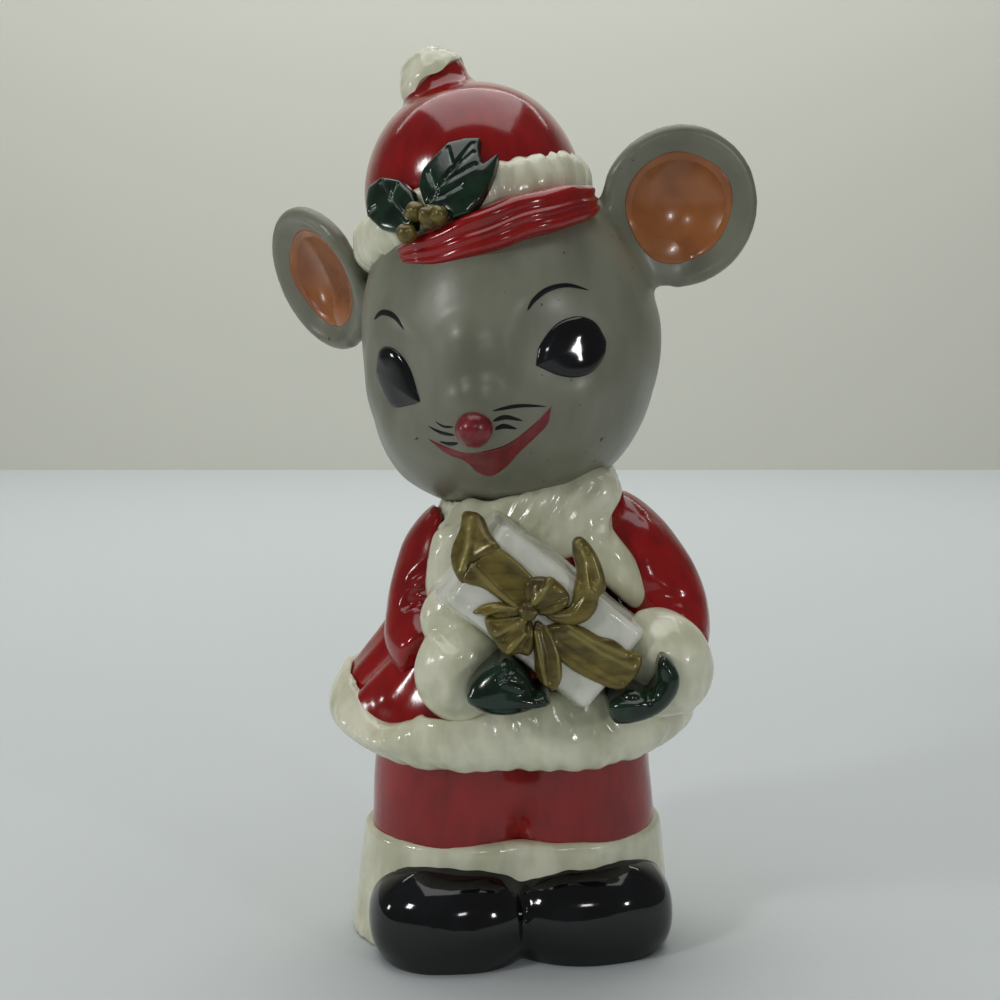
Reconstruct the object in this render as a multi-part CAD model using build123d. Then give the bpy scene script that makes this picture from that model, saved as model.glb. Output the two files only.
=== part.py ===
from build123d import *
import math
import os

# A slip-cast and glazed ceramic mouse, dressed for winter, that holds a wrapped gift.
# It stands on the XY plane and faces -Y, and +X is its own left.
# Lengths are in millimetres and angles in degrees.
# The main castings are hollow and open into each other, with one pour hole underneath.
# The small parts are solid, and each is stuck with slip to the casting that carries it.

# Casting
wall = 3.0
pour_hole_radius = 5.0
pour_hole_back = 5.4
overrun = 2.0

# Ankle trim: the white band that the figure stands on
trim_half_width = 24.0
trim_half_depth = 13.6
trim_top_half_width = 21.8
trim_top_half_depth = 13.4
trim_lobe_offset = 6.5
trim_height = 15.4

# Boots
boot_half_width = 11.5
boot_half_length = 10.6
boot_height = 14.6
boot_widest_height = 5.4
boot_spacing = 21.2
boot_forward = 8.2
boot_toe_out = 3.0

# Trousers
trouser_half_width = 20.9
trouser_half_depth = 12.6
trouser_waist_half_width = 19.8
trouser_waist_half_depth = 12.2
trouser_lobe_offset = 8.0
trouser_height = 16.0

# Coat: a bell that narrows to the shoulders, with a short neck
coat_hem_half_width = 25.4
coat_hem_half_depth = 18.6
coat_skirt_half_width = 23.6
coat_skirt_half_depth = 17.0
coat_skirt_rise = 7.6
coat_waist_half_width = 17.6
coat_waist_half_depth = 13.8
coat_waist_rise = 15.4
coat_shoulder_half_width = 11.8
coat_shoulder_half_depth = 9.8
coat_height = 30.4
coat_chest_drop = 7.6
neck_radius = 8.4
neck_bore_radius = 5.4
neck_shift = 2.2
neck_rise = 12.0

# Fur hem of the coat
hem_half_width = 26.7
hem_half_depth = 20.6
hem_edge_inset = 2.2
hem_lobe_offset = 6.0
hem_height = 11.0
hem_drop = 2.8
hem_belly_share = 0.35

# Fur collar
collar_radius = 9.6
collar_half_thickness = 3.7
collar_half_height = 5.2
collar_rise = 1.8
collar_tilt = -10.0

# Head: an egg that is widest at the cheeks, turned and tilted towards the figure's right
head_height = 84.0
head_turn = -21.0
head_tilt = -11.5
head_radius = 22.2
chin_drop = 18.7
crown_rise = 29.3
cheek_level = -1.0
cap_seat_height = 20.0
snout_radius = 9.4
snout_proud = 1.6
snout_fall_angle = 21.0
nose_radius = 2.6

# Eyes, in a plane that touches the head at the eye
eye_azimuth = 33.2
eye_width = 9.6
eye_height = 7.8
eye_level = -0.4
eye_relief = 0.6
eye_outline_shares = [
    (-0.48, -0.08), (-0.41, 0.12), (-0.22, 0.37), (-0.02, 0.49), (0.21, 0.5), (0.44, 0.33),
    (0.5, 0.0), (0.44, -0.25), (0.23, -0.46), (-0.02, -0.5), (-0.28, -0.39), (-0.47, -0.25),
]

# Ears: round dishes on a short root, turned outwards and tipped forwards
ear_radius = 11.3
left_ear_gap = 3.2
right_ear_gap = 5.8
left_ear_level = 15.7
right_ear_level = 17.0
left_ear_turn = 22.5
right_ear_turn = 38.5
ear_tip = 14.5
ear_back = 3.8
ear_rim_half_thickness = 1.5
ear_dish_depth = 2.4
ear_back_bulge = 3.0
ear_root_radius = 5.6
ear_root_half_thickness = 2.4
ear_root_drop = 4.2
lining_radius = 7.4
lining_thickness = 0.4

# Cap: a ball that sits on the head, leaning further than the head does; heights are from the ball's middle
cap_radius = 15.3
cap_shift = -1.2
cap_centre_rise = 3.5
cap_tilt = -8.5
band_radius = 15.2
band_half_thickness = 2.9
band_drop = 2.7
brim_turn = 22.0
brim_span = 102.0
brim_radius = 17.9
brim_shift = 2.6
brim_edge_height = 4.4
brim_fall = 1.7
brim_root_inset = 5.6
brim_root_drop = 4.9
knob_radius = 4.9
knob_lean = -23.5
knob_lift = 0.9

# Holly: places are turns about the cap's axis, slopes are measured from upright
leaf_relief = 1.0
leaf_depth = 4.0
leaf_reach = 17.2
large_leaf_length = 14.6
large_leaf_width = 8.4
large_leaf_turn = 5.0
large_leaf_slope = 30.0
large_leaf_lean = -27.0
large_leaf_rise = 3.4
small_leaf_length = 9.6
small_leaf_width = 6.4
small_leaf_turn = -27.0
small_leaf_slope = 22.0
small_leaf_lean = 38.0
small_leaf_rise = 2.6
leaf_half_outline_shares = [
    (0.17, -0.44), (0.42, -0.32), (0.36, -0.22), (0.5, -0.03),
    (0.4, 0.06), (0.41, 0.25), (0.24, 0.28), (0.17, 0.42),
]
berry_radius = 1.3
berry_turns = [-9.0, -4.0, 1.2, -13.5]
berry_slopes = [4.0, -6.0, -4.0, -56.0]
berry_lift_shares = [1.4, 1.7, 1.7, 1.2]

# Sleeves: rows of rings; a ring's place is in shares of the coat's waist and of the fall from shoulder to
# wrist, and the wrists hang below the gift's middle
sleeve_radius = 5.6
right_wrist_drop = 8.1
left_wrist_drop = 6.6
right_sleeve_shares = [
    (-0.32, 0.04, 0.08, 0.9), (-0.5, -0.06, 0.18, 0.98), (-0.7, -0.26, 0.59, 1.0),
    (-0.76, -0.5, 0.885, 0.96), (-0.68, -0.82, 1.0, 0.84),
]
left_sleeve_shares = [
    (0.4, 0.04, 0.07, 0.9), (0.78, -0.24, 0.145, 1.06), (1.04, -0.48, 0.465, 1.14),
    (1.2, -0.72, 0.82, 1.0), (1.18, -1.0, 1.0, 0.88),
]

# Fur cuffs and mittens; a mitten's place is in shares of the gift's length and width
cuff_radius = 6.8
cuff_half_length = 4.4
cuff_rounding = 3.8
cuff_along_share = 0.44
mitten_half_width = 5.6
mitten_radius = 4.3
mitten_depth = 3.2
right_mitten_shares = (0.58, -0.83)
left_mitten_shares = (1.19, 0.04)
right_mitten_roll = 6.0
left_mitten_roll = -38.0
thumb_half_length = 3.0
thumb_radius = 1.8
thumb_out_share = 0.46
thumb_front_share = 0.3
thumb_up_share = 0.62

# Gift: a box with drafted sides whose long side runs down to the figure's left
gift_length = 23.2
gift_width = 12.4
gift_depth = 13.0
gift_draft = 7.0
gift_side = 2.0
gift_forward = 24.2
gift_height = 51.4
gift_roll = 38.5
gift_lean = 6.0
gift_corner_radius = 0.8
ribbon_width = 4.9
ribbon_thickness = 0.6

# Bow: each piece has its place from the knot, its turn, its half length and its half width
knot_along = -2.2
knot_across = -1.0
knot_half_size = 1.9
bow_relief = 1.5
bow_piece_names = ["bow_left_loop", "bow_lower_loop", "bow_upper_loop", "bow_lower_tail", "bow_upper_tail"]
bow_reach = 4.2
bow_along_shares = [-0.66, -0.06, 0.16, 1.2, 0.56]
bow_across_shares = [-0.5, -0.94, 0.74, -0.76, 1.56]
bow_turns = [220.0, 266.0, 80.0, 326.0, 70.0]
bow_piece_half_length = 3.4
bow_length_shares = [0.86, 0.94, 0.86, 1.12, 1.4]
bow_piece_half_width = 2.2
bow_width_shares = [0.7, 1.1, 0.86, 0.74, 0.62]

# Heights that follow from the sizes above
trouser_top = trim_height + trouser_height
coat_bottom = trouser_top
shoulder_height = coat_bottom + coat_height
cap_centre_height = cap_seat_height + cap_centre_rise
egg_steps = 6


def in_head(shape):
    # The head's frame has its origin at the head's centre
    return Pos(0, 0, head_height) * Rot(0, 0, head_turn) * Rot(0, head_tilt, 0) * shape


def block(half_size, low, high):
    # A square bar between two heights, to cut with
    bar = Rectangle(half_size * 2, half_size * 2)
    return extrude(Pos(0, 0, low) * bar, high - low)


def lobed_loft(levels, offset):
    # Two lofts side by side make the soft crease down the middle
    # Each level is a half width, a half depth and a height
    lobes = []
    for side in (-1, 1):
        sections = []
        for half_width, half_depth, height in levels:
            sections.append(Pos(side * offset, 0, height) * Ellipse(half_width - offset, half_depth))
        lobes.append(loft(sections))
    return lobes[0] + lobes[1]


def egg(grow):
    # A round egg about Z, from two quarter ellipses that meet at the widest level
    points = []
    for step in range(-egg_steps, egg_steps + 1):
        angle = math.radians(90 * step / egg_steps)
        reach = (chin_drop if step < 0 else crown_rise) + grow
        points.append(((head_radius + grow) * math.cos(angle), cheek_level + reach * math.sin(angle)))
    outline = Spline(*points, tangents=[(1, 0), (-1, 0)])
    return revolve(Plane.XZ * make_face([outline, Line(outline @ 1, outline @ 0)]), Axis.Z)


def capsule(radius, half_length):
    # A round bar with ball ends, along X
    reach = half_length - radius
    bar = Rot(0, 90, 0) * Cylinder(radius, 2 * reach)
    return bar + Pos(reach, 0, 0) * Sphere(radius) + Pos(-reach, 0, 0) * Sphere(radius)


def puffed_disc(radius, half_length, rounding):
    # A thick disc about Z with full round edges
    disc = Cylinder(radius, 2 * half_length)
    return fillet(disc.edges().filter_by(GeomType.CIRCLE), rounding)


def largest(shape):
    # Keeps the piece that shows, where a cut leaves crumbs behind it
    return max(shape.solids(), key=lambda solid: solid.volume)


def seated(shape, *carriers):
    # Cuts a piece back to the faces of the pieces that carry it
    for carrier in carriers:
        shape = shape - carrier
    return largest(shape)


def ellipsoid(half_x, half_y, half_z):
    return scale(Sphere(1), by=(half_x, half_y, half_z))


def tapered_tube(rings):
    # A loft through circles whose planes are square to the row of their centres
    centres = [Vector(*ring[:3]) for ring in rings]
    sections = []
    for index, ring in enumerate(rings):
        before = centres[max(index - 1, 0)]
        after = centres[min(index + 1, len(centres) - 1)]
        plane = Plane(origin=centres[index], x_dir=(1, 0, 0), z_dir=after - before)
        sections.append(plane * Circle(ring[3]))
    return loft(sections)


def trim_form(inset, base):
    lower = (trim_half_width - inset, trim_half_depth - inset, base)
    upper = (trim_top_half_width - inset, trim_top_half_depth - inset, trim_height)
    return lobed_loft([lower, upper], trim_lobe_offset)


def boot_form(side, inset):
    top = boot_height - boot_widest_height
    body = ellipsoid(boot_half_width - inset, boot_half_length - inset, top - inset)
    body = Rot(0, 0, side * boot_toe_out) * body
    body = Pos(side * boot_spacing / 2, -boot_forward, boot_widest_height) * body
    return body & block(trim_half_width * 2, inset, boot_height * 2)


def trouser_form(inset):
    lower = (trouser_half_width - inset, trouser_half_depth - inset, trim_height)
    upper = (trouser_waist_half_width - inset, trouser_waist_half_depth - inset, trouser_top)
    return lobed_loft([lower, upper], trouser_lobe_offset)


def coat_form(inset):
    chest_width = (coat_waist_half_width + coat_shoulder_half_width) / 2
    chest_depth = (coat_waist_half_depth + coat_shoulder_half_depth) / 2
    levels = [
        (coat_hem_half_width, coat_hem_half_depth, coat_bottom),
        (coat_skirt_half_width, coat_skirt_half_depth, coat_bottom + coat_skirt_rise),
        (coat_waist_half_width, coat_waist_half_depth, coat_bottom + coat_waist_rise),
        (chest_width, chest_depth, shoulder_height - coat_chest_drop),
        (coat_shoulder_half_width, coat_shoulder_half_depth, shoulder_height - inset),
    ]
    sections = []
    for half_width, half_depth, height in levels:
        sections.append(Pos(0, 0, height) * Ellipse(half_width - inset, half_depth - inset))
    return loft(sections)


def neck_form(radius, low, high):
    return Pos(neck_shift, 0, low) * extrude(Circle(radius), high - low)


def sleeve_rings(shares, wrist_drop):
    rings = []
    fall = shoulder_height - (gift_height - wrist_drop)
    for x_share, y_share, fall_share, radius_share in shares:
        x = x_share * coat_waist_half_width
        y = y_share * coat_waist_half_depth
        z = shoulder_height - fall_share * fall
        rings.append((x, y, z, radius_share * sleeve_radius))
    return rings


def cap_turned(turn, shape):
    # Turns a shape that is drawn in front of the cap's axis, and takes it to its place on the head
    return in_head(Pos(cap_shift, 0, 0) * Rot(0, 0, turn) * shape)


def in_cap(shape):
    # Takes a shape that is drawn about the cap's own axis, from the ball's middle, to its place on the head
    return in_head(Pos(cap_shift, 0, cap_centre_height) * Rot(0, cap_tilt, 0) * shape)


def leaf(length, width, turn, slope, lean, rise):
    right_side = [(x * width, y * length) for x, y in leaf_half_outline_shares]
    left_side = [(-x, y) for x, y in reversed(right_side)]
    corners = [(0, -length / 2)] + right_side + [(0, length / 2)] + left_side
    face = make_face(Polyline(*corners, close=True))
    plate = Pos(0, 0, leaf_relief - leaf_depth) * extrude(face, leaf_depth)
    upright = Rot(90 - slope, 0, 0) * Rot(0, 0, lean) * plate
    return cap_turned(turn, Pos(0, -leaf_reach, cap_seat_height + rise) * upright)


gift_frame = Pos(gift_side, -gift_forward, gift_height) * Rot(90 - gift_lean, 0, 0) * Rot(0, 0, -gift_roll)


def gift_point(along, across, depth):
    # A place in the gift's own frame: along its length, across it, and back from its front face
    return (gift_frame * Pos(along, across, -depth)).position


def gift_form(grow):
    spread = 2 * gift_depth * math.tan(math.radians(gift_draft))
    front = Rectangle(gift_length + 2 * grow, gift_width + 2 * grow)
    back = Rectangle(gift_length + spread + 2 * grow, gift_width + spread + 2 * grow)
    box = loft([Pos(0, 0, grow) * front, Pos(0, 0, -gift_depth) * back])
    box = fillet(box.edges().group_by(Axis.Z)[-1], gift_corner_radius)
    return gift_frame * box


# Outer forms and the hollow that runs through the castings
trim_outer = trim_form(0, 0)
boot_outers = {side: boot_form(side, 0) for side in (-1, 1)}
trouser_outer = trouser_form(0)
neck_outer = neck_form(neck_radius, coat_bottom + coat_waist_rise, shoulder_height + neck_rise)
coat_outer = coat_form(0) + neck_outer
snout_reach = head_radius + snout_proud - snout_radius
snout = Rot(snout_fall_angle, 0, 0) * Pos(0, -snout_reach, 0) * Sphere(snout_radius)
head_outer = in_head((egg(0) + snout) & block(head_radius * 2, -head_radius * 2, cap_seat_height))
crown_sphere = Pos(cap_shift, 0, cap_centre_height) * Sphere(cap_radius)
above_seat = block(head_radius * 2, cap_seat_height, cap_seat_height + cap_radius * 3)
crown_outer = in_head(crown_sphere & above_seat)

lower_hollow = trim_form(wall, wall) + trouser_form(wall)
for side in (-1, 1):
    lower_hollow += boot_form(side, wall)
neck_bore = neck_form(neck_bore_radius, coat_bottom + coat_waist_rise, head_height)
upper_hollow = coat_form(wall) + neck_bore
head_hollow = in_head(egg(-wall) & block(head_radius * 2, -head_radius * 2, cap_seat_height)) + neck_bore
crown_hollow = Pos(cap_shift, 0, cap_centre_height) * Sphere(cap_radius - wall)
crown_hollow = in_head(crown_hollow & above_seat)

parts = {}

# Legs
pour_hole = Pos(0, pour_hole_back, -overrun) * extrude(Circle(pour_hole_radius), wall + 2 * overrun)
parts["ankle_trim"] = trim_outer - lower_hollow - pour_hole
parts["left_boot"] = boot_outers[1] - trim_outer - trouser_outer - lower_hollow
parts["right_boot"] = boot_outers[-1] - trim_outer - trouser_outer - lower_hollow - boot_outers[1]
parts["trousers"] = trouser_outer - lower_hollow

# Coat
parts["coat_body"] = coat_outer - upper_hollow - head_outer
hem_levels = [
    (hem_half_width - hem_edge_inset, hem_half_depth - hem_edge_inset, coat_bottom - hem_drop),
    (hem_half_width, hem_half_depth, coat_bottom - hem_drop + hem_height * hem_belly_share),
    (hem_half_width - hem_edge_inset, hem_half_depth - hem_edge_inset, coat_bottom - hem_drop + hem_height),
]
hem_outer = lobed_loft(hem_levels, hem_lobe_offset)
collar_section = Pos(collar_radius, 0) * Ellipse(collar_half_thickness, collar_half_height)
collar_ring = revolve(Plane.XZ * collar_section, Axis.Z)
collar_outer = Pos(neck_shift, 0, shoulder_height + collar_rise) * Rot(0, collar_tilt, 0) * collar_ring
parts["fur_collar"] = collar_outer - coat_outer - head_outer

# Gift and arms
gift_outer = gift_form(0)
gift_wrapped = gift_form(ribbon_thickness)
parts["gift_box"] = seated(gift_outer, coat_outer, collar_outer, hem_outer, head_outer)
arms = {
    "right": (right_sleeve_shares, right_wrist_drop, right_mitten_shares, right_mitten_roll, 1),
    "left": (left_sleeve_shares, left_wrist_drop, left_mitten_shares, left_mitten_roll, -1),
}
for name, (shares, wrist_drop, place_shares, roll, thumb_side) in arms.items():
    rings = sleeve_rings(shares, wrist_drop)
    sleeve = tapered_tube(rings)
    wrist = Vector(*rings[-1][:3])
    along = (place_shares[0] - 0.5) * gift_length
    across = place_shares[1] * gift_width
    palm = gift_point(along, across, mitten_depth)
    heading = palm - wrist
    cuff_plane = Plane(origin=wrist + heading * cuff_along_share, z_dir=heading)
    cuff = cuff_plane * puffed_disc(cuff_radius, cuff_half_length, cuff_rounding)
    thumb_out = thumb_side * mitten_half_width * thumb_out_share
    thumb = Pos(thumb_out, -mitten_radius * thumb_front_share, mitten_radius * thumb_up_share)
    hand = capsule(mitten_radius, mitten_half_width) + thumb * capsule(thumb_radius, thumb_half_length)
    mitten = Pos(*palm) * Rot(0, roll, 0) * hand
    parts[name + "_sleeve"] = seated(sleeve, coat_outer, hem_outer, collar_outer, gift_outer, cuff)
    parts[name + "_cuff"] = seated(cuff, coat_outer, gift_outer)
    parts[name + "_mitten"] = seated(mitten, cuff, gift_outer, coat_outer)

hands = [parts[side + piece] for side in arms for piece in ("_cuff", "_mitten")]
parts["coat_hem"] = seated(hem_outer, trouser_outer, coat_outer, *hands)

# Bow and ribbon
ribbon_bar = gift_frame * Box(gift_length * 2, ribbon_width, gift_depth * 4)
ribbon_carriers = [gift_outer, coat_outer, collar_outer, hem_outer, head_outer] + hands
parts["gift_ribbon"] = seated(gift_wrapped & ribbon_bar, *ribbon_carriers)
knot_ball = ellipsoid(knot_half_size, knot_half_size, bow_relief)
knot_form = gift_frame * Pos(knot_along, knot_across, bow_relief / 2) * knot_ball
parts["bow_knot"] = knot_form - gift_outer - parts["gift_ribbon"]
bow_carriers = gift_outer + parts["gift_ribbon"] + knot_form
for index, name in enumerate(bow_piece_names):
    place = Pos(
        knot_along + bow_along_shares[index] * bow_reach,
        knot_across + bow_across_shares[index] * bow_reach,
        bow_relief / 2,
    )
    half_length = bow_piece_half_length * bow_length_shares[index]
    half_width = bow_piece_half_width * bow_width_shares[index]
    petal = gift_frame * place * Rot(0, 0, bow_turns[index]) * ellipsoid(half_length, half_width, bow_relief)
    parts[name] = seated(petal, bow_carriers, parts["right_mitten"])
    bow_carriers += petal

# Head and ears
parts["head"] = head_outer - head_hollow - coat_outer
nose_reach = head_radius + snout_proud
nose_place = Rot(snout_fall_angle, 0, 0) * Pos(0, -nose_reach, 0)
parts["nose"] = in_head(nose_place * Sphere(nose_radius)) - head_outer
outline = [(x * eye_width, y * eye_height + eye_level) for x, y in eye_outline_shares]
eye_prism = extrude(make_face(Spline(*outline, periodic=True)), head_radius * 2)
left_eye_form = (Rot(0, 0, eye_azimuth) * Rot(90, 0, 0) * eye_prism & egg(eye_relief)) - egg(0)
parts["left_eye"] = in_head(left_eye_form)
parts["right_eye"] = in_head(mirror(left_eye_form, about=Plane.YZ))

dish_level = ear_rim_half_thickness - ear_dish_depth
dish_top = Line((0, dish_level), (lining_radius, dish_level))
rim_inner = Line(dish_top @ 1, (ear_radius - ear_rim_half_thickness, ear_rim_half_thickness))
rim_round = ThreePointArc(
    rim_inner @ 1, (ear_radius, 0), (ear_radius - ear_rim_half_thickness, -ear_rim_half_thickness)
)
ear_back_line = Line(rim_round @ 1, (ear_root_radius, -ear_back_bulge))
back_centre = Line(ear_back_line @ 1, (0, -ear_back_bulge))
ear_axis_line = Line(back_centre @ 1, dish_top @ 0)
ear_profile = make_face([dish_top, rim_inner, rim_round, ear_back_line, back_centre, ear_axis_line])
ear_dish = revolve(Plane.XZ * ear_profile, Axis.Z)
lining_disc = extrude(Pos(0, 0, dish_level) * Circle(lining_radius), lining_thickness)
cap_carriers = head_outer + crown_outer
ears = {
    "left": (1, left_ear_gap, left_ear_level, left_ear_turn),
    "right": (-1, right_ear_gap, right_ear_level, right_ear_turn),
}
ear_outers = {}
for name, (side, ear_gap, ear_level, ear_turn) in ears.items():
    crown_level_share = (ear_level - cheek_level) / crown_rise
    head_radius_at_ear = head_radius * math.sqrt(1 - crown_level_share**2)
    ear_side = head_radius_at_ear + ear_gap + ear_radius * math.cos(math.radians(ear_turn)) / 2
    place = Pos(side * ear_side, ear_back, ear_level) * Rot(0, 0, side * ear_turn) * Rot(90 + ear_tip, 0, 0)
    root_end = Vector(0, 0, ear_level - ear_root_drop)
    root_start = Vector(side * ear_side, ear_back, ear_level - ear_root_drop)
    root_plane = Plane(origin=root_start, x_dir=(0, 1, 0), z_dir=root_end - root_start)
    root = root_plane * extrude(Ellipse(ear_root_half_thickness, ear_root_radius), ear_side)
    dish_cut = place * Pos(0, 0, dish_level) * extrude(Circle(lining_radius), ear_radius)
    ear_outer = in_head(place * ear_dish + (root - dish_cut))
    ear_outers[name] = ear_outer
    parts[name + "_ear"] = ear_outer - cap_carriers
    parts[name + "_ear_lining"] = in_head(place * lining_disc) - head_outer

# Cap
knob_place = Pos(0, 0, cap_radius + knob_lift) * Rot(0, knob_lean, 0)
knob_ball = Sphere(knob_radius)
knob_low = in_cap(knob_place * (knob_ball & block(knob_radius * 2, -knob_radius * 2, 0)))
knob_high = in_cap(knob_place * (knob_ball & block(knob_radius * 2, 0, knob_radius * 2)))
parts["cap_crown"] = crown_outer + knob_low - crown_hollow
band_ring = in_cap(Pos(0, 0, -band_drop) * Torus(band_radius, band_half_thickness))
parts["cap_band"] = band_ring - cap_carriers - ear_outers["left"] - ear_outers["right"]
brim_edge_top = -brim_root_drop - brim_fall
brim_corners = [
    (brim_radius - brim_root_inset, -brim_root_drop),
    (brim_radius, brim_edge_top),
    (brim_radius, brim_edge_top - brim_edge_height),
    (brim_radius - brim_root_inset, brim_edge_top - brim_edge_height),
]
brim_profile = Plane.XZ * make_face(Polyline(*brim_corners, close=True))
brim_sector = Rot(0, 0, -90 - brim_span / 2) * revolve(brim_profile, Axis.Z, brim_span)
brim_outer = in_cap(Rot(0, 0, brim_turn) * Pos(0, -brim_shift, 0) * brim_sector)
parts["cap_brim"] = seated(brim_outer, head_outer, band_ring, crown_outer)
parts["pompom"] = knob_high - crown_outer

# Holly
holly_carriers = cap_carriers + band_ring + brim_outer
large_leaf = leaf(
    large_leaf_length, large_leaf_width, large_leaf_turn, large_leaf_slope, large_leaf_lean, large_leaf_rise
)
small_leaf = leaf(
    small_leaf_length, small_leaf_width, small_leaf_turn, small_leaf_slope, small_leaf_lean, small_leaf_rise
)
parts["large_holly_leaf"] = largest(large_leaf - holly_carriers)
parts["small_holly_leaf"] = largest(small_leaf - holly_carriers - large_leaf)
berry_carriers = holly_carriers + large_leaf + small_leaf
for index, turn in enumerate(berry_turns):
    slope = math.radians(berry_slopes[index])
    lift = berry_lift_shares[index] * berry_radius
    berry_reach = band_radius + band_half_thickness * math.cos(slope) + lift
    berry_height = band_half_thickness * math.sin(slope) - band_drop
    berry = in_cap(Rot(0, 0, turn) * Pos(0, -berry_reach, berry_height) * Sphere(berry_radius))
    parts[f"holly_berry_{index + 1}"] = largest(berry - berry_carriers)
    berry_carriers += berry

os.makedirs("parts", exist_ok=True)
for name, part in parts.items():
    print(name, len(part.solids()), round(part.volume, 1))
    export_step(part, f"parts/{name}.step")
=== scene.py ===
# Ceramic winter mouse that holds a wrapped gift: modelled like clay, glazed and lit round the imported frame
# Lengths are in millimetres until keepPiece writes a mesh in metres
import math
import random
import bmesh
import bpy
from mathutils import Matrix, Vector, kdtree, noise
from mathutils.bvhtree import BVHTree


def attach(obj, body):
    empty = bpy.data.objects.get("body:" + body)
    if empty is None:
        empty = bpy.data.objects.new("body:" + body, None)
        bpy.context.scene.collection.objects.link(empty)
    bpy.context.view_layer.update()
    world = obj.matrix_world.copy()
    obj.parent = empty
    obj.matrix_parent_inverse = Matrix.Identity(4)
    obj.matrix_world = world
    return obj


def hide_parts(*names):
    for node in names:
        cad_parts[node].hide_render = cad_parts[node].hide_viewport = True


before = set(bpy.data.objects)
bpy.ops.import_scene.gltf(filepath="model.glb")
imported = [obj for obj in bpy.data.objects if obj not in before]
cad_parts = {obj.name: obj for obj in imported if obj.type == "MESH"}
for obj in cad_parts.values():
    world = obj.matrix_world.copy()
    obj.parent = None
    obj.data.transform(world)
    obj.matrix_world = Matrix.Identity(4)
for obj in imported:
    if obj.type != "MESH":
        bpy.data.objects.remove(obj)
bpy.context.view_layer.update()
millimetre = 0.001
random.seed(12)

# Camera: close by and slightly above, as the photograph was taken
view = {"away": 206.0, "height": 92.0, "aside": 1.9, "azimuth": -5.0, "pitch": 7.9,
        "lens": 52.0, "sensor": 36.0, "pixels": 1000, "near": 0.01, "far": 10.0}


def putInScene(name, data):
    made = bpy.data.objects.new(name, data)
    bpy.context.scene.collection.objects.link(made)
    return made


def moved(x, y, z):
    return Matrix.Translation((x, y, z))


def turned(angle, axis):
    # A turn in degrees about one of the axes
    return Matrix.Rotation(math.radians(angle), 4, axis)


def addCamera():
    data = bpy.data.cameras.new("camera")
    data.lens = view["lens"]
    data.sensor_width = view["sensor"]
    data.clip_start = view["near"]
    data.clip_end = view["far"]
    camera = putInScene("camera", data)
    turn = math.radians(view["azimuth"])
    back = Vector((math.sin(turn), -math.cos(turn), 0))
    right = Vector((math.cos(turn), math.sin(turn), 0))
    spot = back * view["away"] + Vector((0, 0, view["height"])) - right * view["aside"]
    camera.location = spot * millimetre
    camera.rotation_euler = (math.radians(90 - view["pitch"]), 0, turn)
    bpy.context.scene.camera = camera
    bpy.context.view_layer.update()
    return camera


camera = addCamera()
eyePoint = camera.matrix_world.translation / millimetre


def sightLine(px, py):
    # The line of sight through a pixel of the photograph, in the figure's frame
    focal = view["lens"] / view["sensor"] * view["pixels"]
    middle = view["pixels"] / 2
    aim = Vector(((px - middle) / focal, (middle - py) / focal, -1))
    return (camera.matrix_world.to_3x3() @ aim).normalized()


def onPlane(pixel, place):
    # Where the line of sight through a pixel meets the XY plane of a place, in that place's frame
    inverse = place.inverted()
    start = inverse @ eyePoint
    aim = inverse.to_3x3() @ sightLine(*pixel)
    return start - aim * (start.z / aim.z)


# Shader maths and nodes
class Flow:
    def __init__(self, board, socket):
        self.board = board
        self.socket = socket

    def __add__(self, other):
        return self.board.maths("ADD", self, other)

    def __radd__(self, other):
        return self.board.maths("ADD", other, self)

    def __sub__(self, other):
        return self.board.maths("SUBTRACT", self, other)

    def __rsub__(self, other):
        return self.board.maths("SUBTRACT", other, self)

    def __mul__(self, other):
        return self.board.maths("MULTIPLY", self, other)

    def __rmul__(self, other):
        return self.board.maths("MULTIPLY", other, self)


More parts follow.
